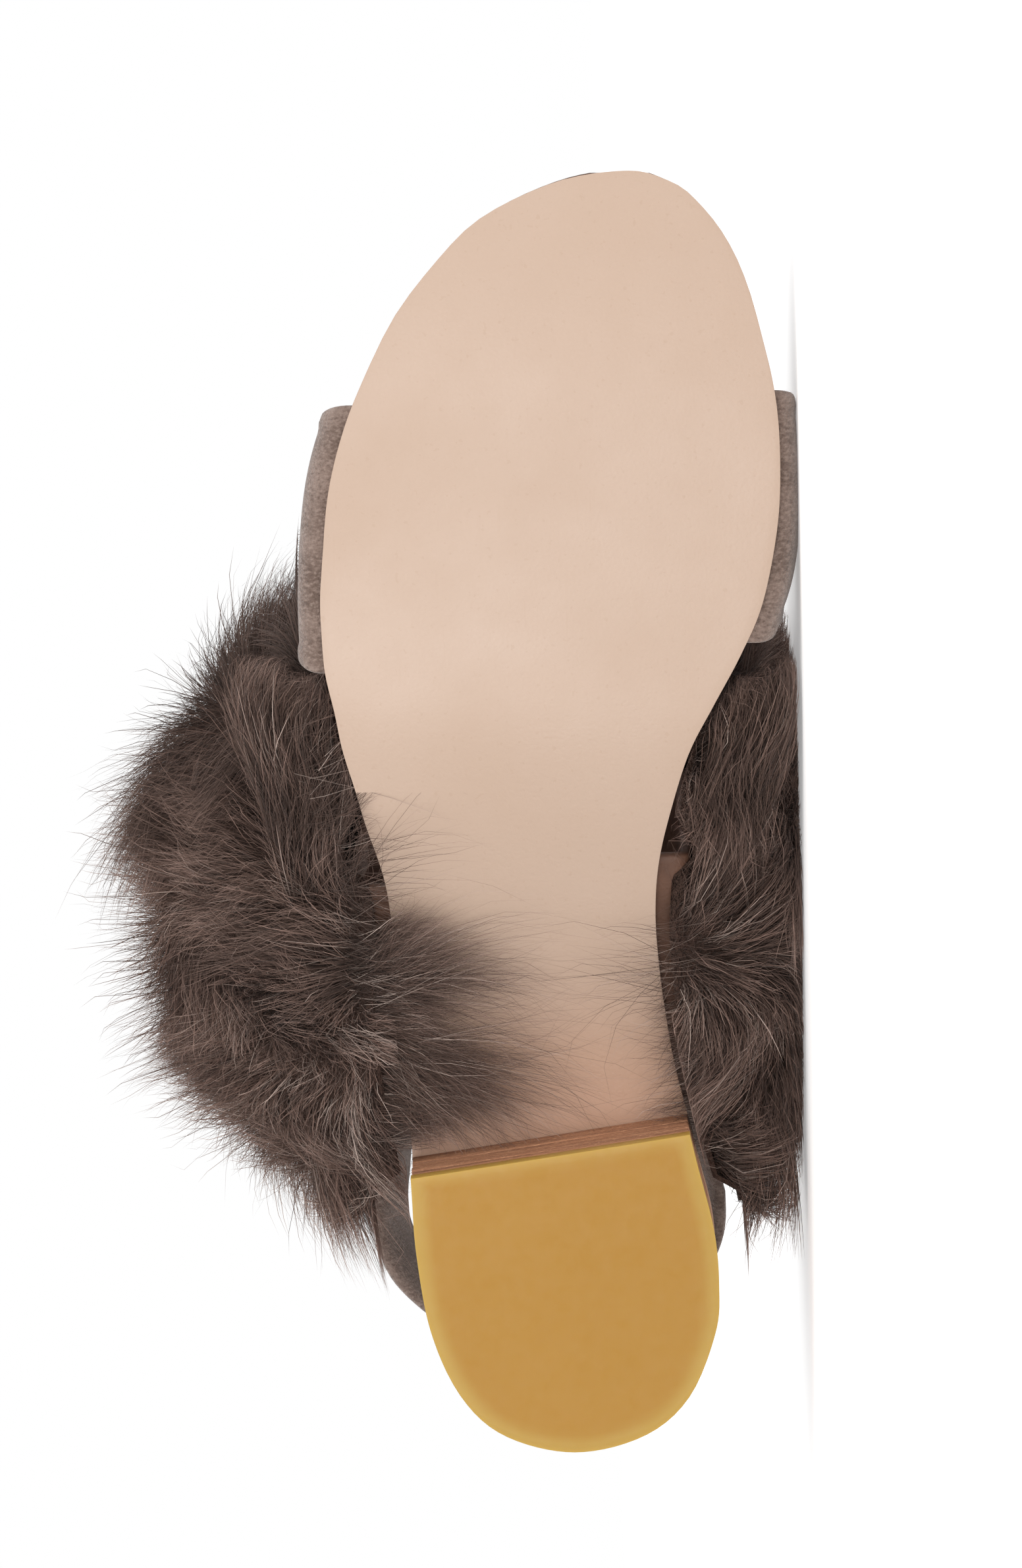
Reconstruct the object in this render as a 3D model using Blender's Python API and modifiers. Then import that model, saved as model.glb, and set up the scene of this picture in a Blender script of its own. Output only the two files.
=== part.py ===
# Fur sandal, right foot, lying on its inner side as it rests on a floor.
#
# The shoe is drawn standing: x runs to the outer side, y from the back of the heel to the toe and z up
# from the ground. The last step lays the finished shoe down, with its tread facing -Y and its toe +X.
# All lengths are in metres.

import math
import random
from collections import namedtuple

import bmesh
import bpy
from mathutils import Matrix, Vector

# Sole
SOLE_LENGTH = 0.243
BALL_WIDTH = 0.085
OUTSOLE_THICKNESS = 0.0035
INSOLE_THICKNESS = 0.0040
INSOLE_MARGIN = 0.0006
EDGE_CHAMFER = 0.0005
TOE_SPRING = 0.007

# Heel
LIFT_COUNT = 5
LIFT_THICKNESS = 0.0033
TOP_LIFT_THICKNESS = 0.0038
TOP_LIFT_ROUNDING = 0.0005
BREAST_OUTER = 0.0529
BREAST_INNER = 0.0614

# Straps
TOE_BAND_WALL = 0.0020
INSTEP_WALL = 0.0022
INSTEP_HEIGHT = 0.068
STRAP_TUCK = 0.009
STRAP_BEND = 0.0026
BACK_STRAP_THICKNESS = 0.0036
BACK_STRAP_WIDTH = 0.015
BACK_STRAP_HEIGHT = 0.046
BACK_STRAP_DROP = 0.006
BACK_STRAP_HALF_WIDTH = 0.0315
BACK_STRAP_WIDEST = 0.150
BACK_STRAP_REAR = 0.045
BACK_STRAP_ROUNDNESS = 2.5
BACK_STRAP_FLARE = 0.0025
BACK_STRAP_JOINT = 0.80
BACK_STRAP_LAP = 0.014
BACK_STRAP_SINK = 0.0006

# Fur: the mass of hair as a rounded form about a centre, then the locks that stand out of it. Its
# place and its reach along the shoe are shares of the sole's length.
FUR_CENTRE_ACROSS = 0.0060
FUR_CENTRE_ALONG = 0.403
FUR_CENTRE_HEIGHT = 0.0620
FUR_REACH_ACROSS = 0.0700
FUR_REACH_ALONG = 0.250
FUR_RISE = 0.0660
FUR_FALL = 0.0565
FUR_ROUNDNESS = 2.5
FUR_SPREAD = 0.90
FUR_HANG = 70.0
FUR_END_BULGE = 0.003
FUR_CLEARANCE = 0.0025
FUR_OVER_GROUND = 0.003
LOCK_LENGTH = 0.010
LOCK_DROOP = 0.25
PRESSED_PILE = 0.018

# Clearances
JOINT_GAP = 0.0003

# How finely the curved forms are cut
STATIONS = 44
ARCH_STEPS = 44
BAND_ROWS = 8
FUR_ROWS = 11
OUTLINE_STEPS = 6
BACK_STRAP_STEPS = 40
LOCK_SEED = 7

# The outline of the sole, as shares of its length from the heel and of the ball width from the centre
# line, with the outer side positive. It starts at the toe and runs down the outer side.
OutlinePoint = namedtuple("OutlinePoint", "along across")
SOLE_OUTLINE = (
    OutlinePoint(1.000, -0.162),
    OutlinePoint(0.991, -0.007),
    OutlinePoint(0.958, 0.179),
    OutlinePoint(0.896, 0.331),
    OutlinePoint(0.835, 0.421),
    OutlinePoint(0.773, 0.479),
    OutlinePoint(0.697, 0.507),
    OutlinePoint(0.629, 0.503),
    OutlinePoint(0.568, 0.470),
    OutlinePoint(0.506, 0.422),
    OutlinePoint(0.437, 0.366),
    OutlinePoint(0.364, 0.340),
    OutlinePoint(0.290, 0.324),
    OutlinePoint(0.209, 0.310),
    OutlinePoint(0.157, 0.299),
    OutlinePoint(0.095, 0.266),
    OutlinePoint(0.044, 0.199),
    OutlinePoint(0.013, 0.101),
    OutlinePoint(0.000, -0.054),
    OutlinePoint(0.013, -0.209),
    OutlinePoint(0.044, -0.310),
    OutlinePoint(0.095, -0.368),
    OutlinePoint(0.132, -0.376),
    OutlinePoint(0.177, -0.364),
    OutlinePoint(0.235, -0.322),
    OutlinePoint(0.309, -0.272),
    OutlinePoint(0.374, -0.244),
    OutlinePoint(0.424, -0.235),
    OutlinePoint(0.482, -0.250),
    OutlinePoint(0.546, -0.301),
    OutlinePoint(0.588, -0.356),
    OutlinePoint(0.629, -0.419),
    OutlinePoint(0.670, -0.468),
    OutlinePoint(0.728, -0.497),
    OutlinePoint(0.779, -0.503),
    OutlinePoint(0.830, -0.491),
    OutlinePoint(0.876, -0.462),
    OutlinePoint(0.937, -0.403),
    OutlinePoint(0.978, -0.319),
    OutlinePoint(0.994, -0.247),
)

# Where the tread touches the ground under the ball, as shares of the sole's length.
TREAD_REAR = 0.60
TREAD_FRONT = 0.80

# The last over the foot: at each station the crown's height as a share of the instep height, how far
# the wall swells past the sole's edge on each side as shares of the ball width, and how far the crown
# leans to the inner side as a share of the half width.
LastSection = namedtuple("LastSection", "along crown outer_swell inner_swell lean")
LAST_SECTIONS = (
    LastSection(0.20, 1.12, 0.085, 0.060, 0.04),
    LastSection(0.30, 1.06, 0.085, 0.068, 0.05),
    LastSection(0.40, 0.98, 0.080, 0.075, 0.06),
    LastSection(0.50, 0.88, 0.066, 0.068, 0.08),
    LastSection(0.60, 0.76, 0.056, 0.062, 0.10),
    LastSection(0.68, 0.66, 0.053, 0.056, 0.12),
    LastSection(0.76, 0.56, 0.052, 0.036, 0.12),
    LastSection(0.84, 0.46, 0.050, 0.034, 0.10),
)
SECTION_ROUNDNESS = 2.3

# The edges of each strap as shares of the sole's length: where they leave the sole on either side and
# where they cross the crown.
StrapEdges = namedtuple("StrapEdges", "inner crown outer")
TOE_BAND_REAR = StrapEdges(0.636, 0.640, 0.612)
TOE_BAND_FRONT = StrapEdges(0.832, 0.786, 0.820)
INSTEP_REAR = StrapEdges(0.262, 0.362, 0.254)
INSTEP_FRONT = StrapEdges(0.466, 0.556, 0.440)

# The shoe lies on its inner side. Its weight acts at about this share of the sole's length and this
# height of the standing shoe.
FLOOR_SIDE = Vector((-1.0, 0.0, 0.0))
BALANCE_ALONG = 0.391
BALANCE_HEIGHT = 0.028


def smooth(share):
    """Eases a share between 0 and 1."""
    held = max(0.0, min(1.0, share))
    return held * held * (3.0 - 2.0 * held)


def mix(first, second, share):
    return first + (second - first) * share


def spline(before, start, end, after, share):
    """A Catmull-Rom curve between start and end."""
    return 0.5 * (
        2.0 * start
        + (end - before) * share
        + (2.0 * before - 5.0 * start + 4.0 * end - after) * share**2
        + (3.0 * start - before - 3.0 * end + after) * share**3
    )


def sole_outline():
    """The sole's outline as a fine closed line, in metres."""
    corners = [Vector((p.across * BALL_WIDTH, p.along * SOLE_LENGTH)) for p in SOLE_OUTLINE]
    count = len(corners)
    line = []
    for i in range(count):
        four = [corners[(i + step) % count] for step in (-1, 0, 1, 2)]
        line += [spline(*four, step / OUTLINE_STEPS) for step in range(OUTLINE_STEPS)]
    return line


OUTLINE = sole_outline()
HEEL_END = min(point.y for point in OUTLINE)
TOE_END = max(point.y for point in OUTLINE)


def edge_x(y, side):
    """Where the sole's edge lies at station y: side is 1 for the outer edge and -1 for the inner one."""
    held = max(HEEL_END + 1e-6, min(TOE_END - 1e-6, y))
    found = []
    for i, end in enumerate(OUTLINE):
        start = OUTLINE[i - 1]
        if (start.y - held) * (end.y - held) <= 0.0 and start.y != end.y:
            found.append(mix(start.x, end.x, (held - start.y) / (end.y - start.y)))
    return side * max(side * x for x in found)


HEEL_HEIGHT = LIFT_COUNT * (LIFT_THICKNESS + JOINT_GAP) + TOP_LIFT_THICKNESS + JOINT_GAP


def underside(y):
    """Height of the outsole's underside over the ground: heel seat, waist, tread and toe spring."""
    waist_start = max(BREAST_OUTER, BREAST_INNER)
    waist_end = TREAD_REAR * SOLE_LENGTH
    spring_start = TREAD_FRONT * SOLE_LENGTH
    if y > spring_start:
        return TOE_SPRING * ((y - spring_start) / (SOLE_LENGTH - spring_start)) ** 2
    return HEEL_HEIGHT * (1.0 - smooth((y - waist_start) / (waist_end - waist_start)))


def insole_underside(y):
    return underside(y) + OUTSOLE_THICKNESS + JOINT_GAP


def insole_top(y):
    return insole_underside(y) + INSOLE_THICKNESS


def last_section(along):
    """The last's section at a share of the length, read smoothly between the rows of the table."""
    rows = LAST_SECTIONS
    held = max(rows[0].along, min(rows[-1].along, along))
    i = max(j for j in range(len(rows) - 1) if rows[j].along <= held)
    four = [rows[max(0, min(len(rows) - 1, i + step))] for step in (-1, 0, 1, 2)]
    share = (held - rows[i].along) / (rows[i + 1].along - rows[i].along)
    return LastSection(*(spline(*values, share) for values in zip(*four)))


def material(name, colour, roughness):
    made = bpy.data.materials.new(name)
    made.use_nodes = True
    shader = made.node_tree.nodes["Principled BSDF"]
    shader.inputs["Base Color"].default_value = (*colour, 1.0)
    shader.inputs["Roughness"].default_value = roughness
    shader.inputs["Metallic"].default_value = 0.0
    return made


def mesh_object(name, mesh, surface, group):
    made = bpy.data.objects.new(name, mesh)
    group.objects.link(made)
    if surface:
        mesh.materials.append(surface)
    return made


def helper(made):
    """Keeps a cutter or a joined-on shape out of the finished part."""
    made.hide_render = True
    made.display_type = "WIRE"
    return made


def grid_mesh(name, rows):
    """An open surface through rows of points."""
    form = bmesh.new()
    lines = [[form.verts.new(point) for point in row] for row in rows]
    for first, second in zip(lines, lines[1:]):
        for i in range(len(first) - 1):
            form.faces.new((first[i], first[i + 1], second[i + 1], second[i]))
    return finished(name, form)


def finished(name, form):
    bmesh.ops.recalc_face_normals(form, faces=form.faces)
    mesh = bpy.data.meshes.new(name)
    form.to_mesh(mesh)
    form.free()
    mesh.shade_smooth()
    mesh.set_sharp_from_angle(angle=math.radians(35.0))
    return mesh


def sole_ring(margin):
    """The outline at every station, pulled in by a margin: outer edge to the toe, then inner edge back."""
    stations = [
        mix(HEEL_END, TOE_END, (1.0 - math.cos(math.pi * i / STATIONS)) / 2.0)
        for i in range(STATIONS + 1)
    ]
    outer = [Vector((edge_x(y, 1), y)) for y in stations]
    inner = [Vector((edge_x(y, -1), y)) for y in stations[1:-1]]
    ring = outer + inner[::-1]
    pulled = []
    for i, point in enumerate(ring):
        run = (ring[(i + 1) % len(ring)] - ring[i - 1]).normalized()
        pulled.append(point + Vector((-run.y, run.x)) * margin)
    return pulled


def sole_plate(name, margin, bottom, thickness, surface, group):
    """A plate with the sole's outline, chamfered all round and bent to the sole's profile."""
    full = sole_ring(margin)
    small = sole_ring(margin + EDGE_CHAMFER)
    levels = ((small, 0.0), (full, EDGE_CHAMFER), (full, thickness - EDGE_CHAMFER), (small, thickness))
    form = bmesh.new()
    rings = [
        [form.verts.new((p.x, p.y, bottom(f.y) + height)) for p, f in zip(ring, full)]
        for ring, height in levels
    ]
    count = len(full)
    for low, high in zip(rings, rings[1:]):
        for i in range(count):
            form.faces.new((low[i - 1], low[i], high[i], high[i - 1]))
    for ring in (rings[0], rings[-1]):
        form.faces.new((ring[0], ring[1], ring[-1]))
        for i in range(1, STATIONS - 1):
            form.faces.new((ring[i], ring[i + 1], ring[count - i - 1], ring[count - i]))
        form.faces.new((ring[STATIONS - 1], ring[STATIONS], ring[STATIONS + 1]))
    return mesh_object(name, finished(name, form), surface, group)


def heel_outline():
    """The part of the outline behind the heel breast, which runs across the shoe at a slant."""
    outer = Vector((edge_x(BREAST_OUTER, 1), BREAST_OUTER))
    inner = Vector((edge_x(BREAST_INNER, -1), BREAST_INNER))
    across = outer - inner
    front = Vector((-across.y, across.x))

    def ahead(point):
        return (point - inner).dot(front)

    kept = []
    ring = sole_ring(0.0)
    for i, point in enumerate(ring):
        before = ring[i - 1]
        if (ahead(before) < 0.0) != (ahead(point) < 0.0):
            kept.append(before.lerp(point, ahead(before) / (ahead(before) - ahead(point))))
        if ahead(point) < 0.0:
            kept.append(point)
    return kept


def heel_layer(name, bottom, thickness, rounding, surface, group):
    """One lift of the heel: a flat outline given its thickness."""
    data = bpy.data.curves.new(name, "CURVE")
    data.dimensions = "2D"
    data.fill_mode = "BOTH"
    data.extrude = thickness / 2.0 - rounding
    data.bevel_depth = rounding
    data.bevel_resolution = 1
    data.offset = -rounding
    outline = heel_outline()
    line = data.splines.new("POLY")
    line.points.add(len(outline) - 1)
    for point, place in zip(line.points, outline):
        point.co = (place.x, place.y, 0.0, 1.0)
    line.use_cyclic_u = True
    made = bpy.data.objects.new(name, data)
    made.location.z = bottom + thickness / 2.0
    data.materials.append(surface)
    group.objects.link(made)
    return made


def strap_path():
    """The places round a strap, from the inner tuck over the crown to the outer one: zone, value, side."""
    tuck = [("tuck", 1.0), ("tuck", 0.5), ("tuck", 0.0)]
    bend = [("bend", 30.0), ("bend", 60.0)]
    arch = [("arch", 180.0 * i / ARCH_STEPS) for i in range(ARCH_STEPS + 1)]
    inner = [(zone, value, -1) for zone, value in tuck + bend]
    outer = [(zone, value, 1) for zone, value in reversed(tuck + bend)]
    return inner + [(zone, value, 0) for zone, value in arch] + outer


def strap_point(y, place, wall):
    """A point of the strap's middle surface at station y."""
    zone, value, side = place
    section = last_section(y / SOLE_LENGTH)
    floor = insole_underside(y) + wall / 2.0
    inner = edge_x(y, -1) - section.inner_swell * BALL_WIDTH + wall / 2.0
    outer = edge_x(y, 1) + section.outer_swell * BALL_WIDTH - wall / 2.0
    if zone == "arch":
        angle = math.radians(value)
        power = 2.0 / SECTION_ROUNDNESS
        reach = -math.copysign(abs(math.cos(angle)) ** power, math.cos(angle))
        rise = abs(math.sin(angle)) ** power
        half = (outer - inner) / 2.0
        x = (inner + outer) / 2.0 + half * (reach - section.lean * rise)
        return Vector((x, y, floor + STRAP_BEND + section.crown * INSTEP_HEIGHT * rise))
    wall_x = outer if side > 0 else inner
    corner = wall_x - side * STRAP_BEND
    if zone == "bend":
        angle = math.radians(value)
        return Vector((corner + side * STRAP_BEND * math.sin(angle), y,
                       floor + STRAP_BEND * (1.0 - math.cos(angle))))
    tucked = edge_x(y, side) - side * STRAP_TUCK
    return Vector((mix(corner, tucked, value), y, floor))


def strap_station(place, edges):
    """The share of the length where a strap's edge crosses this place on the strap."""
    zone, value, side = place
    if zone != "arch":
        return edges.outer if side > 0 else edges.inner
    base = edges.inner if value <= 90.0 else edges.outer
    return mix(base, edges.crown, smooth(abs(math.sin(math.radians(value)))))


def strap_rows(wall, rear, front, count):
    """Rows of points over a strap's middle surface, each running from its rear edge to its front edge."""
    rows = []
    for place in strap_path():
        start = strap_station(place, rear) * SOLE_LENGTH
        end = strap_station(place, front) * SOLE_LENGTH
        rows.append([strap_point(mix(start, end, i / count), place, wall) for i in range(count + 1)])
    return rows


def strap(name, wall, rear, front, surface, group):
    """A strap with its wall, from the rows over its middle surface."""
    made = mesh_object(name, grid_mesh(name, strap_rows(wall, rear, front, BAND_ROWS)), surface, group)
    thicken(made, wall)
    return made


def thicken(made, wall):
    shell = made.modifiers.new("wall", "SOLIDIFY")
    shell.thickness = wall
    shell.offset = 0.0
    shell.use_even_offset = True


def tuck_cutter(name, side, wall, rear, front, group):
    """The recess under the insole that takes one tucked end of a strap."""
    start = (rear.outer if side > 0 else rear.inner) * SOLE_LENGTH - JOINT_GAP
    end = (front.outer if side > 0 else front.inner) * SOLE_LENGTH + JOINT_GAP
    rows = []
    for i in range(BAND_ROWS + 1):
        y = mix(start, end, i / BAND_ROWS)
        edge = edge_x(y, side)
        height = insole_underside(y) + wall / 2.0
        rows.append([
            Vector((edge - side * (STRAP_TUCK + JOINT_GAP), y, height)),
            Vector((edge + side * STRAP_TUCK, y, height)),
        ])
    cutter = helper(mesh_object(name, grid_mesh(name, rows), None, group))
    thicken(cutter, wall + 2.0 * JOINT_GAP)
    return cutter


def cut_or_join(target, tool, operation):
    boolean = target.modifiers.new(tool.name, "BOOLEAN")
    boolean.operation = operation
    boolean.object = tool


def arch_x(y, height, side):
    """Where the instep strap's middle surface lies at a station and a height over the ground."""
    section = last_section(y / SOLE_LENGTH)
    springing = insole_underside(y) + INSTEP_WALL / 2.0 + STRAP_BEND
    rise = (height - springing) / (section.crown * INSTEP_HEIGHT)
    angle = math.asin(min(1.0, max(0.0, rise)) ** (SECTION_ROUNDNESS / 2.0))
    turn = math.degrees(angle) if side < 0 else 180.0 - math.degrees(angle)
    return strap_point(y, ("arch", turn, 0), INSTEP_WALL).x


def back_strap_joint():
    """The station at which the back strap leaves the instep strap."""
    return mix(INSTEP_REAR.outer, INSTEP_REAR.crown, BACK_STRAP_JOINT) * SOLE_LENGTH


def back_strap_rows():
    """Rows across the back strap's width, from inside the instep strap's outer end, round the heel."""
    inset = (INSTEP_WALL + BACK_STRAP_THICKNESS) / 2.0 - BACK_STRAP_SINK
    joined = back_strap_joint()
    widest = BACK_STRAP_WIDEST * SOLE_LENGTH
    rear = BACK_STRAP_REAR * SOLE_LENGTH
    middle = insole_top(0.0) + BACK_STRAP_HEIGHT
    levels = (-1.0, -0.4, 0.4, 1.0)
    half = BACK_STRAP_WIDTH / 2.0

    def end_row(y, side):
        heights = [middle + half * level for level in levels]
        return [Vector((arch_x(y, height, side) - side * inset, y, height)) for height in heights]

    laps = (BACK_STRAP_LAP, BACK_STRAP_LAP / 2.0, 0.0)
    rows = [end_row(joined + lap, 1) for lap in laps]
    power = 2.0 / BACK_STRAP_ROUNDNESS
    for i in range(BACK_STRAP_STEPS + 1):
        turn = math.pi * i / BACK_STRAP_STEPS
        drop = BACK_STRAP_DROP * math.sin(turn)
        x = BACK_STRAP_HALF_WIDTH * math.copysign(abs(math.cos(turn)) ** power, math.cos(turn))
        y = widest - (widest - rear) * math.sin(turn) ** power
        outward = Vector((math.cos(turn), -math.sin(turn), 0.0)) * BACK_STRAP_FLARE
        centre = Vector((x, y, middle - drop))
        rows.append([centre + Vector((0.0, 0.0, half * level)) - outward * level for level in levels])
    return rows + [end_row(joined + lap, -1) for lap in reversed(laps)]


def instep_straps(surface, group, helpers):
    """The instep strap and the back strap, joined in one piece."""
    made = strap("instep_and_back_strap", INSTEP_WALL, INSTEP_REAR, INSTEP_FRONT, surface, group)
    back = helper(mesh_object("back_strap", grid_mesh("back_strap", back_strap_rows()), surface, helpers))
    thicken(back, BACK_STRAP_THICKNESS)
    cut_or_join(made, back, "UNION")
    return made


def strap_face(wall, rear, front, rise):
    """The outer face of a strap's arch, lifted off it, as rows from its inner side to its outer one."""
    form = bmesh.new()
    form.from_mesh(grid_mesh("strap_face", strap_rows(wall, rear, front, BAND_ROWS)))
    form.normal_update()
    places = [vertex.co + vertex.normal * (wall / 2.0 + rise) for vertex in form.verts]
    form.free()
    width = BAND_ROWS + 1
    rows = [places[i:i + width] for i in range(0, len(places), width)]
    zones = [zone for zone, _, _ in strap_path()]
    return [row for row, zone in zip(rows, zones) if zone == "arch"]


def fur_centre():
    return Vector((FUR_CENTRE_ACROSS, FUR_CENTRE_ALONG * SOLE_LENGTH, FUR_CENTRE_HEIGHT))


def fur_envelope(turn, along):
    """A point of the hair's rounded outer form: turn in degrees round the foot, along from -1 to 1."""
    round_share = (1.0 - min(1.0, abs(along)) ** FUR_ROUNDNESS) ** (1.0 / FUR_ROUNDNESS)
    angle = math.radians(turn)
    height = FUR_RISE if math.sin(angle) > 0.0 else FUR_FALL
    return fur_centre() + Vector((
        FUR_REACH_ACROSS * round_share * math.cos(angle),
        FUR_REACH_ALONG * SOLE_LENGTH * along,
        height * round_share * math.sin(angle),
    ))


def fur_loop(roots, turn):
    """One closed section of the fur: out from the strap's rear edge, over the hair and back inside."""
    hair = [
        fur_envelope(turn, FUR_SPREAD * (2.0 * i / FUR_ROWS - 1.0))
        for i in range(FUR_ROWS + 1)
    ]
    bulge = Vector((0.0, FUR_END_BULGE, 0.0))
    rear = roots[0].lerp(hair[0], 0.5) - bulge
    front = roots[-1].lerp(hair[-1], 0.5) + bulge
    return [roots[0], rear] + hair + [front] + roots[:0:-1]


def pressed(place, floor):
    """Keeps a point of the fur on the near side of the floor."""
    point, normal = floor
    depth = (place - point).dot(normal)
    return (place - normal * depth, True) if depth > 0.0 else (place, False)


def over_ground(place):
    """Keeps a point of the hanging fur above the ground on which the shoe stands."""
    return Vector((place.x, place.y, max(place.z, FUR_OVER_GROUND)))


def beside_sole(place):
    """Keeps a point of the hanging fur outside the sole and the heel, and outside the strap above them."""
    side = 1 if place.x > 0.0 else -1
    section = last_section(place.y / SOLE_LENGTH)
    swell = section.outer_swell if side > 0 else section.inner_swell
    room = FUR_CLEARANCE
    if place.z > insole_underside(place.y):
        room += swell * BALL_WIDTH
    edge = edge_x(place.y, side) + side * room
    if place.z > FUR_CENTRE_HEIGHT or side * (place.x - edge) > 0.0:
        return place
    return Vector((edge, place.y, place.z))


def beside_back_strap(place):
    """Keeps a point of the fur outside the back strap where it runs through the hair."""
    middle = insole_top(0.0) + BACK_STRAP_HEIGHT
    near = BACK_STRAP_WIDTH / 2.0 + 3.0 * FUR_CLEARANCE
    side = 1 if place.x > 0.0 else -1
    edge = side * (BACK_STRAP_HALF_WIDTH + BACK_STRAP_THICKNESS / 2.0 + BACK_STRAP_FLARE + FUR_CLEARANCE)
    behind = place.y < back_strap_joint()
    if behind and abs(place.z - middle) < near and side * (place.x - edge) < 0.0:
        return Vector((edge, place.y, place.z))
    return place


def behind_toe_band(place):
    """Keeps a point of the fur behind the toe band, or round the outside of it."""
    limit = min(TOE_BAND_REAR) * SOLE_LENGTH - FUR_CLEARANCE
    section = last_section(min(TOE_BAND_REAR))
    edges = [edge_x(limit, side) for side in (-1, 1)]
    centre = sum(edges) / 2.0
    half = (edges[1] - edges[0]) / 2.0 + section.outer_swell * BALL_WIDTH + 2.0 * FUR_CLEARANCE
    height = section.crown * INSTEP_HEIGHT + 4.0 * FUR_CLEARANCE
    across = abs((place.x - centre) / half) ** SECTION_ROUNDNESS
    over = abs(max(0.0, place.z - insole_underside(limit)) / height) ** SECTION_ROUNDNESS
    return Vector((place.x, limit, place.z)) if place.y > limit and across + over < 1.0 else place


def kept_clear(place):
    """Moves a point of the fur clear of the ground, the sole and the straps."""
    return behind_toe_band(beside_back_strap(beside_sole(over_ground(place))))


def fur(floor, surface, group):
    """The fur over the instep strap: one solid with its locks fused on."""
    roots = strap_face(INSTEP_WALL, INSTEP_REAR, INSTEP_FRONT, JOINT_GAP)
    steps = len(roots) - 1
    chance = random.Random(LOCK_SEED)
    form = bmesh.new()
    loops = []
    for i, row in enumerate(roots):
        turn = mix(180.0 + FUR_HANG, -FUR_HANG, i / steps)
        loop = fur_loop(row, turn)
        hair = [pressed(kept_clear(place), floor)[0] for place in loop[1:FUR_ROWS + 4]]
        places = loop[:1] + hair + loop[FUR_ROWS + 4:]
        loops.append([form.verts.new(place) for place in places])
    hair_start, hair_end = 1, FUR_ROWS + 3
    count = len(loops[0])
    for i in range(steps):
        for j in range(count):
            k = (j + 1) % count
            corners = (loops[i][j], loops[i][k], loops[i + 1][k], loops[i + 1][j])
            if hair_start <= j < hair_end:
                lock(form, corners, fur_centre(), floor, chance)
            else:
                form.faces.new(corners)
    for loop in (loops[0], loops[-1]):
        cap(form, loop)
    return mesh_object("instep_fur", finished("instep_fur", form), surface, group)


def lock(form, corners, centre, floor, chance):
    """Raises one pointed lock of hair on four corners, or leaves them flat where they lie on the floor."""
    middle = sum((corner.co for corner in corners), Vector()) / 4.0
    outward = (middle - centre).normalized()
    drift = Vector([chance.uniform(-0.35, 0.35) for _ in range(3)])
    length = LOCK_LENGTH * chance.uniform(0.45, 1.35)
    tip = over_ground(middle + (outward + drift - Vector((0.0, 0.0, LOCK_DROOP))).normalized() * length)
    if pressed(tip, floor)[1] or kept_clear(tip) != tip:
        tip = middle
    point = form.verts.new(tip)
    for i, corner in enumerate(corners):
        form.faces.new((corners[i - 1], corner, point))


def cap(form, loop):
    """Closes one end of the fur from a point in its middle."""
    middle = form.verts.new(sum((vertex.co for vertex in loop), Vector()) / len(loop))
    for i, vertex in enumerate(loop):
        form.faces.new((loop[i - 1], vertex, middle))


def places_of(made):
    """The finished points of an object, with its modifiers applied."""
    graph = bpy.context.evaluated_depsgraph_get()
    shown = made.evaluated_get(graph)
    return [made.matrix_world @ vertex.co for vertex in shown.to_mesh().vertices]


def resting_floor(parts):
    """The plane on which the shoe lies: the face of its hull under its weight, on the inner side."""
    balance = Vector((0.0, BALANCE_ALONG * SOLE_LENGTH, BALANCE_HEIGHT))
    form = bmesh.new()
    for made in parts:
        for place in places_of(made):
            form.verts.new(place)
    for row in strap_face(INSTEP_WALL, INSTEP_REAR, INSTEP_FRONT, 0.0):
        for place in row:
            form.verts.new(place + FLOOR_SIDE * PRESSED_PILE)
    bmesh.ops.convex_hull(form, input=form.verts)
    found = []
    for face in form.faces:
        face.normal_update()
        offset = face.verts[0].co - balance
        normal = face.normal if face.normal.dot(offset) > 0.0 else -face.normal
        if normal.dot(FLOOR_SIDE) > 0.1:
            found.append((normal.dot(offset) / normal.dot(FLOOR_SIDE), face.verts[0].co.copy(), normal.copy()))
    form.free()
    return min(found, key=lambda row: row[0])[1:]


def laying_down(floor):
    """The turn that brings the floor plane under the shoe, its toe to +X and its tread to -Y."""
    up = -floor[1]
    toe = Vector((0.0, 1.0, 0.0))
    toe = (toe - up * toe.dot(up)).normalized()
    return Matrix((toe, up.cross(toe), up)).to_4x4()


def lay_down(floor, group, helpers):
    """Turns every piece into the resting pose, with its lowest point on the floor and its box centred."""
    turn = laying_down(floor)
    for made in list(group.objects) + list(helpers.objects):
        made.matrix_world = turn @ made.matrix_world
    bpy.context.view_layer.update()
    places = [place for made in group.objects for place in places_of(made)]
    low = Vector([min(place[axis] for place in places) for axis in range(3)])
    high = Vector([max(place[axis] for place in places) for axis in range(3)])
    shift = Matrix.Translation((-(low.x + high.x) / 2.0, -(low.y + high.y) / 2.0, -low.z))
    for made in list(group.objects) + list(helpers.objects):
        made.matrix_world = shift @ made.matrix_world


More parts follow.
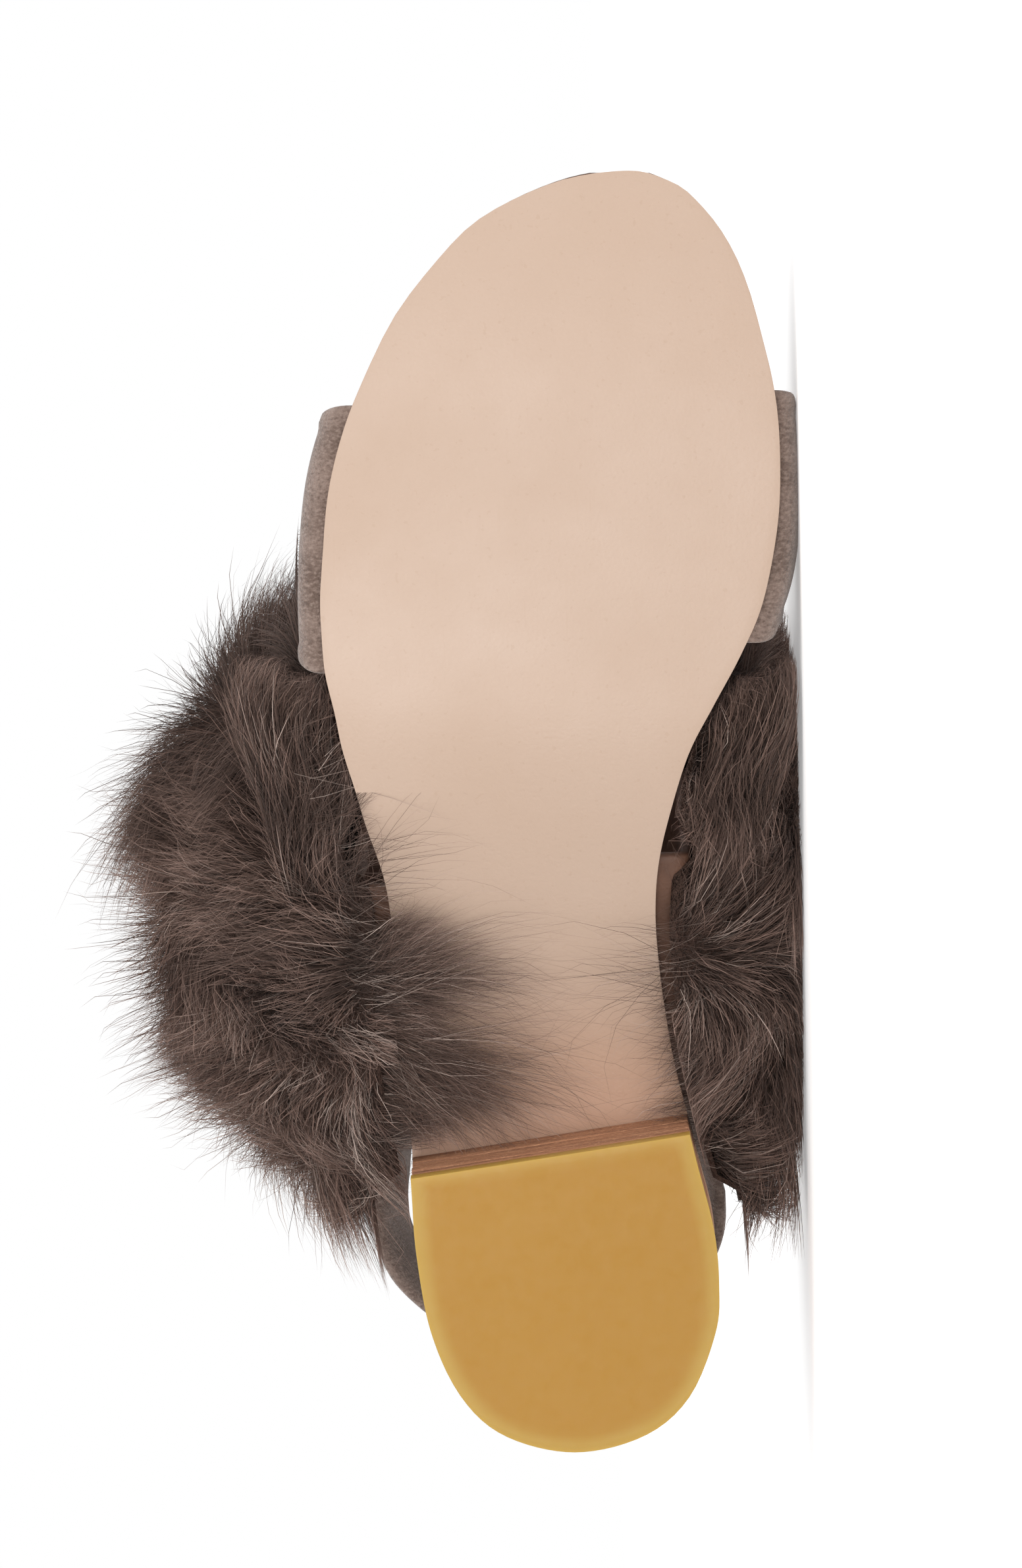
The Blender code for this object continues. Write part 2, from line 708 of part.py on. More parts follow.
def main():
    for old in list(bpy.data.objects):
        bpy.data.objects.remove(old)
    group = bpy.data.collections.new("fur_sandal")
    helpers = bpy.data.collections.new("helpers")
    for made in (group, helpers):
        bpy.context.scene.collection.children.link(made)

    veg_leather = material("veg_leather", (0.71, 0.52, 0.40), 0.45)
    stacked_leather = material("stacked_leather", (0.30, 0.16, 0.09), 0.60)
    gum_rubber = material("gum_rubber", (0.53, 0.29, 0.08), 0.35)
    lining = material("brown_leather", (0.12, 0.055, 0.03), 0.50)
    suede = material("taupe_suede", (0.24, 0.17, 0.14), 0.95)
    long_fur = material("long_fur", (0.06, 0.04, 0.032), 0.90)

    outsole = sole_plate("outsole", 0.0, underside, OUTSOLE_THICKNESS, veg_leather, group)
    insole = sole_plate("insole", INSOLE_MARGIN, insole_underside, INSOLE_THICKNESS, lining, group)
    top_lift = heel_layer("top_lift", 0.0, TOP_LIFT_THICKNESS, TOP_LIFT_ROUNDING, gum_rubber, group)
    for i in range(LIFT_COUNT):
        bottom = TOP_LIFT_THICKNESS + JOINT_GAP + i * (LIFT_THICKNESS + JOINT_GAP)
        heel_layer(f"heel_lift_{i + 1}", bottom, LIFT_THICKNESS, 0.0, stacked_leather, group)
    toe_band = strap("toe_band", TOE_BAND_WALL, TOE_BAND_REAR, TOE_BAND_FRONT, suede, group)
    instep_straps(lining, group, helpers)
    for name, wall, rear, front in (
        ("toe_band", TOE_BAND_WALL, TOE_BAND_REAR, TOE_BAND_FRONT),
        ("instep", INSTEP_WALL, INSTEP_REAR, INSTEP_FRONT),
    ):
        for side in (1, -1):
            label = "outer" if side > 0 else "inner"
            cutter = tuck_cutter(f"{name}_{label}_recess", side, wall, rear, front, helpers)
            cut_or_join(insole, cutter, "DIFFERENCE")

    bpy.context.view_layer.update()
    floor = resting_floor((outsole, insole, top_lift, toe_band))
    fur(floor, long_fur, group)
    lay_down(floor, group, helpers)


main()
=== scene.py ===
import math

import bpy
import numpy as np
from mathutils import Matrix, Vector, kdtree


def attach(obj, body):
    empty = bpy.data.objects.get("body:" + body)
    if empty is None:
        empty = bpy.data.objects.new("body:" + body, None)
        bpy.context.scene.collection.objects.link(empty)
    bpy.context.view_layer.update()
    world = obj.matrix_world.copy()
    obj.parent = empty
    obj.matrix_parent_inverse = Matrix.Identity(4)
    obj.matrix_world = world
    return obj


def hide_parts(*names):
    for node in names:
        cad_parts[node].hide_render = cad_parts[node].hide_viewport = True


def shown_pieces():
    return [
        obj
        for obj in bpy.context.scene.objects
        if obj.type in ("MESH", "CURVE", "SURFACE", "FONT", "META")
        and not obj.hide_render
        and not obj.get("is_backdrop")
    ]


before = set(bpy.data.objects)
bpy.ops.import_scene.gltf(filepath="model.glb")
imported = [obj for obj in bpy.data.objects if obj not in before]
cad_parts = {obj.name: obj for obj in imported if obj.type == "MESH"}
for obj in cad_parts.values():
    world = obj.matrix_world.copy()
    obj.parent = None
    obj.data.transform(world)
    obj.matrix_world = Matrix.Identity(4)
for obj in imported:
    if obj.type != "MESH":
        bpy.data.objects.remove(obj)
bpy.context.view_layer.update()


# How the shoe lies. It is drawn standing: x to the outer side, y from heel to toe, z up, all in metres.
lying = {
    "floorNormal": (-0.9997355, 0.0229061, -0.0020546),
    "shift": (-0.1212586, -0.0701418, 0.0506015),
}


def lyingMatrix():
    up = -Vector(lying["floorNormal"])
    toe = Vector((0, 1, 0))
    toe = (toe - up * toe.dot(up)).normalized()
    turn = Matrix((toe, up.cross(toe), up)).to_4x4()
    return Matrix.Translation(lying["shift"]) @ turn


layDown = np.array(lyingMatrix())


def toFloor(places):  # from the standing shoe to the shoe on the floor
    return places @ layDown[:3, :3].T + layDown[:3, 3]


def toShoe(places):  # and back
    return (places - layDown[:3, 3]) @ layDown[:3, :3]


# Small tools

def mix(first, second, share):
    return first + (second - first) * share


def eased(share):
    held = np.clip(share, 0.0, 1.0)
    return held * held * (3 - 2 * held)


def between(before, start, end, after, share):  # a smooth curve from start to end
    return 0.5 * (2 * start + (end - before) * share
                  + (2 * before - 5 * start + 4 * end - after) * share ** 2
                  + (3 * start - before - 3 * end + after) * share ** 3)


def asRows(x, y, z):  # one row for each place
    return np.stack([x, y, z], 1)


def signedPower(value, power):
    return np.sign(value) * np.abs(value) ** power


def pickNothing():
    if bpy.context.object and bpy.context.object.mode != "OBJECT":
        bpy.ops.object.mode_set(mode="OBJECT")
    bpy.ops.object.select_all(action="DESELECT")


def pick(piece):
    pickNothing()
    piece.select_set(True)
    bpy.context.view_layer.objects.active = piece


def newObject(name, data):
    thing = bpy.data.objects.new(name, data)
    bpy.context.scene.collection.objects.link(thing)
    return thing


def modify(piece, kind, **values):  # adds a modifier and applies it
    pick(piece)
    modifier = piece.modifiers.new(kind.lower(), kind)
    for key, value in values.items():
        setattr(modifier, key, value)
    bpy.ops.object.modifier_apply(modifier=modifier.name)


def roundEdges(piece, width, segments, angle):
    modify(piece, "BEVEL", width=width, segments=segments, limit_method="ANGLE",
           angle_limit=math.radians(angle))


def readAll(items, kind="co"):  # every item's place or normal, one row each
    rows = np.zeros(len(items) * 3)
    items.foreach_get(kind, rows)
    return rows.reshape(-1, 3)


def paint(piece, name, values):  # a value at every point, for the materials
    piece.data.attributes.new(name, "FLOAT", "POINT").data.foreach_set("value", values.astype(np.float32))


def gridPiece(name, across, along, place, closed=False):
    pickNothing()
    bpy.ops.mesh.primitive_grid_add(x_subdivisions=across, y_subdivisions=along, size=1)
    piece = bpy.context.object
    piece.name = piece.data.name = name
    flat = readAll(piece.data.vertices)
    places = toFloor(place(flat[:, 0] + 0.5, flat[:, 1] + 0.5))
    piece.data.vertices.foreach_set("co", places.ravel())
    piece.data.update()
    bpy.ops.object.mode_set(mode="EDIT")
    bpy.ops.mesh.select_all(action="SELECT")
    if closed:
        bpy.ops.mesh.remove_doubles(threshold=0.00002)
        bpy.ops.mesh.select_all(action="DESELECT")
        bpy.ops.mesh.select_non_manifold()
        bpy.ops.mesh.edge_face_add()
        bpy.ops.mesh.select_all(action="SELECT")
    bpy.ops.mesh.normals_make_consistent(inside=False)
    bpy.ops.object.mode_set(mode="OBJECT")
    return piece


def finishPiece(piece, material, nodes=(), angle=35):
    pick(piece)
    bpy.ops.object.shade_smooth_by_angle(angle=math.radians(angle))
    piece.data.materials.clear()
    piece.data.materials.append(material)
    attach(piece, "root")
    if nodes:
        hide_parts(*nodes)


def shoePlaces(piece):  # a finished piece's points in the standing shoe
    return toShoe(readAll(piece.data.vertices))


def ripple(places, size, seed, waves=6):  # a smooth random field, one vector for each place
    chance = np.random.default_rng(seed)
    field = np.zeros((len(places), 3))
    for _ in range(waves):
        heading = chance.normal(size=3)
        heading *= 2 * math.pi / size * chance.uniform(0.6, 1.5) / np.linalg.norm(heading)
        field += np.sin(places @ heading + chance.uniform(0, 6.28))[:, None] * chance.normal(size=3)
    return field / math.sqrt(waves)


# Shader groups

def newGroup(name, inputs, outputs):
    group = bpy.data.node_groups.new(name, "ShaderNodeTree")
    for label, kind, value in inputs:
        group.interface.new_socket(label, in_out="INPUT", socket_type=kind).default_value = value
    for label, kind in outputs:
        group.interface.new_socket(label, in_out="OUTPUT", socket_type=kind)
    return group, group.nodes.new("NodeGroupInput"), group.nodes.new("NodeGroupOutput")


def add(tree, kind, **values):
    node = tree.nodes.new(kind)
    for key, value in values.items():
        if key in node.inputs:
            node.inputs[key].default_value = value
        else:
            setattr(node, key, value)
    return node


def stretchedPlaces(tree, stretch):  # object coordinates, stretched along the axes
    places = add(tree, "ShaderNodeTexCoord")
    mapping = add(tree, "ShaderNodeMapping")
    mapping.inputs["Scale"].default_value = stretch
    tree.links.new(places.outputs["Object"], mapping.inputs["Vector"])
    return mapping.outputs["Vector"]


def mixColour(tree, share, first, second):
    node = add(tree, "ShaderNodeMix", data_type="RGBA")
    for socket, value in ((node.inputs[0], share), (node.inputs[6], first), (node.inputs[7], second)):
        if isinstance(value, bpy.types.NodeSocket):
            tree.links.new(value, socket)
        else:
            socket.default_value = (*value, 1) if isinstance(value, tuple) else value
    return node.outputs[2]


def spread(tree, value, low, high, toLow=0.0, toHigh=1.0):  # a value's range, widened and held
    node = add(tree, "ShaderNodeMapRange")
    tree.links.new(value, node.inputs["Value"])
    for label, number in (("From Min", low), ("From Max", high), ("To Min", toLow), ("To Max", toHigh)):
        node.inputs[label].default_value = number
    return node.outputs["Result"]


def tint(tree, base, colour, value, low, high, share):  # a colour laid over the base by a value's range
    return mixColour(tree, spread(tree, value, low, high, 0.0, share), base, colour)


def buildMottle():  # cloudy change of tone, with a finer speckle over it
    tree, given, out = newGroup(
        "Mottle",
        [("Size", "NodeSocketFloat", 60.0), ("Speckle", "NodeSocketFloat", 900.0),
         ("Stretch", "NodeSocketVector", (1, 1, 1))],
        [("Cloud", "NodeSocketFloat"), ("Speck", "NodeSocketFloat")],
    )
    places = add(tree, "ShaderNodeTexCoord")
    scaled = add(tree, "ShaderNodeVectorMath", operation="MULTIPLY")
    tree.links.new(places.outputs["Object"], scaled.inputs[0])
    tree.links.new(given.outputs["Stretch"], scaled.inputs[1])
    for label, detail, output in (("Size", 4.0, "Cloud"), ("Speckle", 2.0, "Speck")):
        noise = add(tree, "ShaderNodeTexNoise", Detail=detail, Roughness=0.6)
        tree.links.new(scaled.outputs[0], noise.inputs["Vector"])
        tree.links.new(given.outputs[label], noise.inputs["Scale"])
        tree.links.new(spread(tree, noise.outputs["Fac"], 0.3, 0.7), out.inputs[output])
    return tree


def buildGrain():  # leather grain: small cells with soft valleys between
    tree, given, out = newGroup(
        "LeatherGrain",
        [("Cells", "NodeSocketFloat", 900.0), ("Depth", "NodeSocketFloat", 0.3)],
        [("Normal", "NodeSocketVector")],
    )
    places = add(tree, "ShaderNodeTexCoord")
    cells = add(tree, "ShaderNodeTexVoronoi", feature="SMOOTH_F1")
    noise = add(tree, "ShaderNodeTexNoise", Detail=6.0, Roughness=0.65)
    height = add(tree, "ShaderNodeMath", operation="MULTIPLY_ADD")
    height.inputs[1].default_value = 0.6
    bump = add(tree, "ShaderNodeBump", Distance=0.0004)
    tree.links.new(places.outputs["Object"], cells.inputs["Vector"])
    tree.links.new(places.outputs["Object"], noise.inputs["Vector"])
    tree.links.new(given.outputs["Cells"], cells.inputs["Scale"])
    tree.links.new(given.outputs["Cells"], noise.inputs["Scale"])
    tree.links.new(cells.outputs["Distance"], height.inputs[0])
    tree.links.new(noise.outputs["Fac"], height.inputs[2])
    tree.links.new(height.outputs[0], bump.inputs["Height"])
    tree.links.new(given.outputs["Depth"], bump.inputs["Strength"])
    tree.links.new(bump.outputs["Normal"], out.inputs["Normal"])
    return tree


mottle = buildMottle()
grain = buildGrain()


def newMaterial(name, **values):
    material = bpy.data.materials.new(name)
    material.use_nodes = True
    tree = material.node_tree
    shader = tree.nodes["Principled BSDF"]
    for label, value in values.items():
        shader.inputs[label].default_value = value
    return material, tree, shader


def placeGroup(tree, group, **values):
    node = tree.nodes.new("ShaderNodeGroup")
    node.node_tree = group
    for label, value in values.items():
        node.inputs[label].default_value = value
    return node.outputs


def mottled(tree, size, speckle, stretch=(1, 1, 1)):  # the clouds and the speckle
    outputs = placeGroup(tree, mottle, Size=size, Speckle=speckle, Stretch=stretch)
    return outputs["Cloud"], outputs["Speck"]


def grained(tree, cells, depth):
    return placeGroup(tree, grain, Cells=cells, Depth=depth)["Normal"]


def wire(tree, shader, base, normal=None, roughness=None):
    for label, socket in (("Base Color", base), ("Normal", normal), ("Roughness", roughness)):
        if socket is not None:
            tree.links.new(socket, shader.inputs[label])


# Materials

soleLook = {
    "light": (0.426, 0.309, 0.236),
    "dark": (0.385, 0.267, 0.191),
    "stain": (0.320, 0.205, 0.130),
    # waist: a warmer, darker tan by the heel, partly the leather's tone and partly painted shade from the
    # heel and the fur
    "waist": (0.470, 0.235, 0.130),
    "clouds": 0.42,  # how far clouds, stains and scratches go towards their tone
    "stains": 0.16,
    "scratches": 0.16,
    "heelShadeAndTan": (0.55, 0.056, 0.046),  # the waist's tan, with painted shade from the heel and the fur: its share, and where and over which run it fades
    "roughness": (0.40, 0.54),
}


def soleLeather():
    material, tree, shader = newMaterial("soleLeather", **{"Coat Weight": 0.06, "Coat Roughness": 0.35})
    cloud, speck = mottled(tree, 26.0, 800.0)
    base = tint(tree, soleLook["light"], soleLook["dark"], cloud, 0.0, 1.0, soleLook["clouds"])
    base = tint(tree, base, soleLook["stain"], speck, 0.86, 1.0, soleLook["stains"])
    scratch = add(tree, "ShaderNodeTexNoise", Scale=1.0, Detail=3.0, Roughness=0.5)
    tree.links.new(stretchedPlaces(tree, (60, 900, 900)), scratch.inputs["Vector"])
    base = tint(tree, base, soleLook["dark"], scratch.outputs["Fac"], 0.66, 0.75, soleLook["scratches"])
    # the waist tone near the heel: a tan with painted shade laid into it
    waist = add(tree, "ShaderNodeAttribute", attribute_name="waist")
    base = mixColour(tree, waist.outputs["Fac"], base, soleLook["waist"])
    roughness = spread(tree, cloud, 0.0, 1.0, *soleLook["roughness"])
    wire(tree, shader, base, grained(tree, 1500.0, 0.16), roughness)
    return material


stackLook = {"light": (0.450, 0.202, 0.102), "dark": (0.165, 0.066, 0.033), "line": (0.640, 0.345, 0.190)}


def stackedLeather():
    material, tree, shader = newMaterial("stackedLeather", Roughness=0.62)
    wide, fine = mottled(tree, 34.0, 150.0, (1, 34, 1))  # drawn out along the layers
    cloud, speck = mottled(tree, 900.0, 1700.0, (1, 2, 1))
    base = mixColour(tree, wide, stackLook["dark"], stackLook["light"])
    base = tint(tree, base, stackLook["line"], fine, 0.5, 1.0, 0.5)
    base = tint(tree, base, stackLook["line"], cloud, 0.6, 0.9, 0.6)
    base = tint(tree, base, stackLook["dark"], speck, 0.3, 0.0, 0.5)
    wire(tree, shader, base, grained(tree, 1900.0, 0.6))
    return material


liftLook = {
    "face": (0.338, 0.175, 0.027),
    "rim": (0.400, 0.268, 0.066),
    "deep": (0.316, 0.153, 0.016),
    "clouds": 0.35,
    "specks": 0.12,
    "roughness": (0.40, 0.52),
}


def gumRubber():
    material, tree, shader = newMaterial("gumRubber", **{
        "Subsurface Weight": 0.25, "Subsurface Scale": 0.004, "Subsurface Radius": (1.0, 0.6, 0.2),
        "Coat Weight": 0.03, "Coat Roughness": 0.4, "Specular IOR Level": 0.22})
    rim = add(tree, "ShaderNodeAttribute", attribute_name="rim")
    cloud, speck = mottled(tree, 34.0, 380.0)
    base = tint(tree, liftLook["face"], liftLook["deep"], cloud, 0.0, 1.0, liftLook["clouds"])
    base = tint(tree, base, liftLook["deep"], speck, 0.7, 1.0, liftLook["specks"])
    base = mixColour(tree, rim.outputs["Fac"], base, liftLook["rim"])
    bump = add(tree, "ShaderNodeBump", Distance=0.0002, Strength=0.06)
    tree.links.new(speck, bump.inputs["Height"])
    wire(tree, shader, base, bump.outputs["Normal"], spread(tree, speck, 0.0, 1.0, *liftLook["roughness"]))
    return material


suedeLook = {
    "light": (0.262, 0.192, 0.160),
    "dark": (0.150, 0.104, 0.084),
    "worn": (0.350, 0.268, 0.228),
    "deep": (0.085, 0.056, 0.045),
}


def taupeSuede():
    material, tree, shader = newMaterial("taupeSuede", Roughness=0.96, **{
        "Sheen Weight": 0.35, "Sheen Roughness": 0.45, "Specular IOR Level": 0.2})
    cloud, speck = mottled(tree, 95.0, 1100.0, (1.6, 1, 1))
    base = mixColour(tree, cloud, suedeLook["dark"], suedeLook["light"])
    base = tint(tree, base, suedeLook["worn"], speck, 0.45, 0.95, 0.6)
    base = tint(tree, base, suedeLook["deep"], speck, 0.35, 0.05, 0.5)
    wire(tree, shader, base, grained(tree, 2600.0, 0.8))
    return material


liningLook = {"light": (0.165, 0.080, 0.048), "dark": (0.075, 0.036, 0.023)}


def brownLining():
    material, tree, shader = newMaterial("brownLining", Roughness=0.58, **{"Specular IOR Level": 0.4})
    cloud, _ = mottled(tree, 45.0, 800.0)
    base = mixColour(tree, cloud, liningLook["dark"], liningLook["light"])
    wire(tree, shader, base, grained(tree, 1300.0, 0.35))
    return material


furLook = {
    # root: the strands' dark roots, with painted shade of the deep pile in it
    "root": (0.052, 0.032, 0.025),
    "middle": (0.186, 0.115, 0.090),
    "tip": (0.318, 0.212, 0.175),
    "pale": (0.560, 0.450, 0.390),
    "core": (0.075, 0.044, 0.034),
}


def strandFur():  # u says which shade a strand has, v runs from its root to its tip
    material, tree, shader = newMaterial("strandFur", Roughness=0.60, **{
        "Sheen Weight": 0.05, "Sheen Roughness": 0.5, "Specular IOR Level": 0.18})
    strand = add(tree, "ShaderNodeUVMap", uv_map="strand")
    parts = add(tree, "ShaderNodeSeparateXYZ")
    tree.links.new(strand.outputs["UV"], parts.inputs["Vector"])
    shade, along = parts.outputs["X"], parts.outputs["Y"]
    # darker towards the root: the fur's dark roots and painted shade deep in the pile
    base = mixColour(tree, spread(tree, along, 0.25, 0.75), furLook["root"], furLook["middle"])
    base = mixColour(tree, spread(tree, along, 0.6, 1.0), base, furLook["tip"])
    base = mixColour(tree, spread(tree, shade, 0.08, 0.70, 0.86, 0.0), base, furLook["root"])
    base = tint(tree, base, furLook["pale"], shade, 0.78, 0.97, 0.62)
    wire(tree, shader, base)
    return material


def underFur():
    material, tree, shader = newMaterial("underFur", Roughness=0.95, **{"Specular IOR Level": 0.1})
    _, speck = mottled(tree, 150.0, 900.0)
    base = mixColour(tree, speck, furLook["root"], furLook["core"])
    bump = add(tree, "ShaderNodeBump", Distance=0.002, Strength=0.8)
    tree.links.new(speck, bump.inputs["Height"])
    wire(tree, shader, base, bump.outputs["Normal"])
    return material


looks = {make.__name__: make() for make in
         (soleLeather, stackedLeather, gumRubber, taupeSuede, brownLining, strandFur, underFur)}
print("materials made", sorted(looks))


# The sole's shape

soleShape = {
    "length": 0.243,
    "ballWidth": 0.085,
    "heelHeight": 0.0221,
    "breastOuter": 0.0529,
    "breastInner": 0.0614,
    "treadRear": 0.60,
    "treadFront": 0.80,
    "toeSpring": 0.007,
    "outline": (  # share of the length, share of the ball width to the outer side
        (1.000, -0.162), (0.991, -0.007), (0.958, 0.179), (0.896, 0.331), (0.835, 0.421),
        (0.773, 0.479), (0.697, 0.507), (0.629, 0.503), (0.568, 0.470), (0.506, 0.422),
        (0.437, 0.366), (0.364, 0.340), (0.290, 0.324), (0.209, 0.310), (0.157, 0.299),
        (0.095, 0.266), (0.044, 0.199), (0.013, 0.101), (0.000, -0.054), (0.013, -0.209),
        (0.044, -0.310), (0.095, -0.368), (0.132, -0.376), (0.177, -0.364), (0.235, -0.322),
        (0.309, -0.272), (0.374, -0.244), (0.424, -0.235), (0.482, -0.250), (0.546, -0.301),
        (0.588, -0.356), (0.629, -0.419), (0.670, -0.468), (0.728, -0.497), (0.779, -0.503),
        (0.830, -0.491), (0.876, -0.462), (0.937, -0.403), (0.978, -0.319), (0.994, -0.247),
    ),
}
soleLength = soleShape["length"]


def soleEdges(steps=16):  # the outline as two lines from heel to toe, outer and inner
    ring = np.array([(across * soleShape["ballWidth"], along * soleLength)
                     for along, across in soleShape["outline"]])
    share = np.linspace(0, 1, steps, endpoint=False)[:, None]
    fine = np.concatenate([between(*(ring[(i + k) % len(ring)] for k in (-1, 0, 1, 2)), share)
                           for i in range(len(ring))])
    toe, heel = int(np.argmax(fine[:, 1])), int(np.argmin(fine[:, 1]))
    fine = np.roll(fine, -toe, axis=0)
    heel = (heel - toe) % len(fine)
    outer, inner = fine[:heel + 1][::-1], np.concatenate([fine[heel:], fine[:1]])
    return {1: outer[np.argsort(outer[:, 1])], -1: inner[np.argsort(inner[:, 1])]}


edges = soleEdges()
heelEnd, toeEnd = edges[1][0, 1], edges[1][-1, 1]


def edgeX(y, side):
    return np.interp(y, edges[side][:, 1], edges[side][:, 0])


def underside(y):
    start, end = soleShape["breastInner"], soleShape["treadRear"] * soleLength
    spring = soleShape["treadFront"] * soleLength
    waist = soleShape["heelHeight"] * (1 - eased((y - start) / (end - start)))
    lifted = np.clip((y - spring) / (soleLength - spring), 0, 1)
    return waist + soleShape["toeSpring"] * lifted ** 2


def roundShares(u, v):  # a square grid's places moved so that its rim is round
    a, b = 2 * u - 1, 2 * v - 1
    along = b * np.sqrt(1 - a * a / 2)
    across = a * np.sqrt(1 - b * b / 2) / np.sqrt(np.maximum(1 - along * along, 1e-9))
    return (np.clip(across, -1, 1) + 1) / 2, (along + 1) / 2


def thickened(piece, thickness, rounding, segments):  # grown up from its underside
    up = 1.0 if readAll(piece.data.polygons, "normal")[:, 1].mean() > 0 else -1.0
    modify(piece, "SOLIDIFY", thickness=thickness, offset=up)
    roundEdges(piece, rounding, segments, 50)
    return piece


def plate(name, margin, bottom, thickness, rounding, wander):  # one layer of the sole
    def place(u, v):
        u, v = roundShares(u, v)
        y = mix(heelEnd + margin, toeEnd - margin, v)
        inner, outer = edgeX(y, -1) + margin, edgeX(y, 1) - margin
        cut = ripple(asRows(y, inner, outer), 0.016, 3) * wander
        x = mix(inner + cut[:, 0], outer + cut[:, 1], u)
        return asRows(x, y, underside(y) + bottom)

    return thickened(gridPiece(name, 34, 100, place), thickness, rounding, 3)


outsoleLayer = {"margin": 0.0, "bottom": 0.0, "thickness": 0.0035, "rounding": 0.0006, "wander": 0.00010}


def buildOutsole():
    piece = plate("outsoleLeather", **outsoleLayer)
    # a tan tone with painted shade, fading from the heel along the waist
    share, start, run = soleLook["heelShadeAndTan"]
    paint(piece, "waist", share * (1 - eased((shoePlaces(piece)[:, 1] - start) / run)) ** 1.3)
    finishPiece(piece, looks["soleLeather"], ["outsole"])


insoleLayer = {"margin": 0.0006, "bottom": 0.0038, "thickness": 0.0040, "rounding": 0.0010, "wander": 0.00005}
insoleTop = insoleLayer["bottom"] + insoleLayer["thickness"]  # over the outsole's underside

buildOutsole()
finishPiece(plate("insoleLeather", **insoleLayer), looks["brownLining"], ["insole"])
print("sole made")


# The heel

heelStack = {
    "insets": (0.00025, 0.0001, 0.0003, 0.00015, 0.0002),  # one for each leather lift, from the rubber up
    "liftThickness": 0.0033,
    "liftRounding": 0.0003,
    "topThickness": 0.0038,
    "topRounding": 0.0006,
    "gap": 0.0003,
    "overlap": 0.0001,
}


def heelLayer(name, bottom, thickness, inset, rounding):
    def place(u, v):
        u, v = roundShares(u, v / 2)
        reach = mix(soleShape["breastInner"], soleShape["breastOuter"], u) - inset * 0.5
        y = mix(heelEnd + inset, reach, 2 * v)
        x = mix(edgeX(y, -1) + inset, edgeX(y, 1) - inset, u)
        return asRows(x, y, 0 * x + bottom)

    return thickened(gridPiece(name, 30, 34, place), thickness, rounding, 2)


liftRim = {  # the rubber's paler rim
    "start": 0.0002,
    "width": 0.0038,
    "share": 0.80,
    "breastWidth": 0.0022,
    "breastShare": 0.65,
    "curveEnd": 0.030,  # the heel's outline is round behind this
    "amber": (0.85, 0.0007, 0.0020),  # up its side it is amber again: share, start and run
}


def rimShares(piece):  # how near each point lies to the rubber's edge
    places = shoePlaces(piece)
    x, y, z = places.T
    inner, outer = edgeX(y, -1), edgeX(y, 1)
    curve = np.concatenate([edges[side][edges[side][:, 1] < liftRim["curveEnd"]] for side in (-1, 1)])
    back = np.min(np.linalg.norm(places[:, None, :2] - curve[None], axis=2), axis=1)
    across = np.maximum(np.minimum(x - inner, outer - x), 0)
    near = np.where(y < liftRim["curveEnd"], np.minimum(across, back), across)
    breast = mix(soleShape["breastInner"], soleShape["breastOuter"], (x - inner) / (outer - inner)) - y
    rim = liftRim["share"] * (1 - eased((near - liftRim["start"]) / liftRim["width"]))
    front = liftRim["breastShare"] * (1 - eased((breast - liftRim["start"]) / liftRim["breastWidth"]))
    amber, start, run = liftRim["amber"]
    return np.maximum(rim, front) * (1 - amber * eased((z - start) / run))


def buildHeel():
    top, lift, gap = heelStack["topThickness"], heelStack["liftThickness"], heelStack["gap"]
    piece = heelLayer("topLiftRubber", 0.0, top, 0.0, heelStack["topRounding"])
    paint(piece, "rim", rimShares(piece))
    finishPiece(piece, looks["gumRubber"], ["top_lift"])
    for count, inset in enumerate(heelStack["insets"]):
        bottom = top + gap + count * (lift + gap) - heelStack["overlap"]
        thickness = lift + 2 * heelStack["overlap"]
        piece = heelLayer(f"heelLift{count + 1}", bottom, thickness, inset, heelStack["liftRounding"])
        finishPiece(piece, looks["stackedLeather"], [f"heel_lift_{count + 1}"])


buildHeel()
print("heel made")


# The last over which the straps are drawn

lastShape = {
    "instepHeight": 0.068,
    "roundness": 2.3,
    "bend": 0.0026,
    "rows": (  # share of the length, crown, outer swell, inner swell, lean
        (0.20, 1.12, 0.085, 0.060, 0.04), (0.30, 1.06, 0.085, 0.068, 0.05),
        (0.40, 0.98, 0.080, 0.075, 0.06), (0.50, 0.88, 0.066, 0.068, 0.08),
        (0.60, 0.76, 0.056, 0.062, 0.10), (0.68, 0.66, 0.053, 0.056, 0.12),
        (0.76, 0.56, 0.052, 0.036, 0.12), (0.84, 0.46, 0.050, 0.034, 0.10),
    ),
}


def lastTable():
    rows = np.array(lastShape["rows"])
    wanted = np.linspace(rows[0, 0], rows[-1, 0], 300)
    found = []
    for along in wanted:
        i = min(int(np.searchsorted(rows[:, 0], along, "right")) - 1, len(rows) - 2)
        four = [rows[min(max(i + k, 0), len(rows) - 1)] for k in (-1, 0, 1, 2)]
        found.append(between(*four, (along - rows[i, 0]) / (rows[i + 1, 0] - rows[i, 0])))
    return wanted, np.array(found)


lastAlong, lastRows = lastTable()


def lastAt(y):
    share = y / soleLength
    return [np.interp(share, lastAlong, lastRows[:, k]) for k in range(1, 5)]


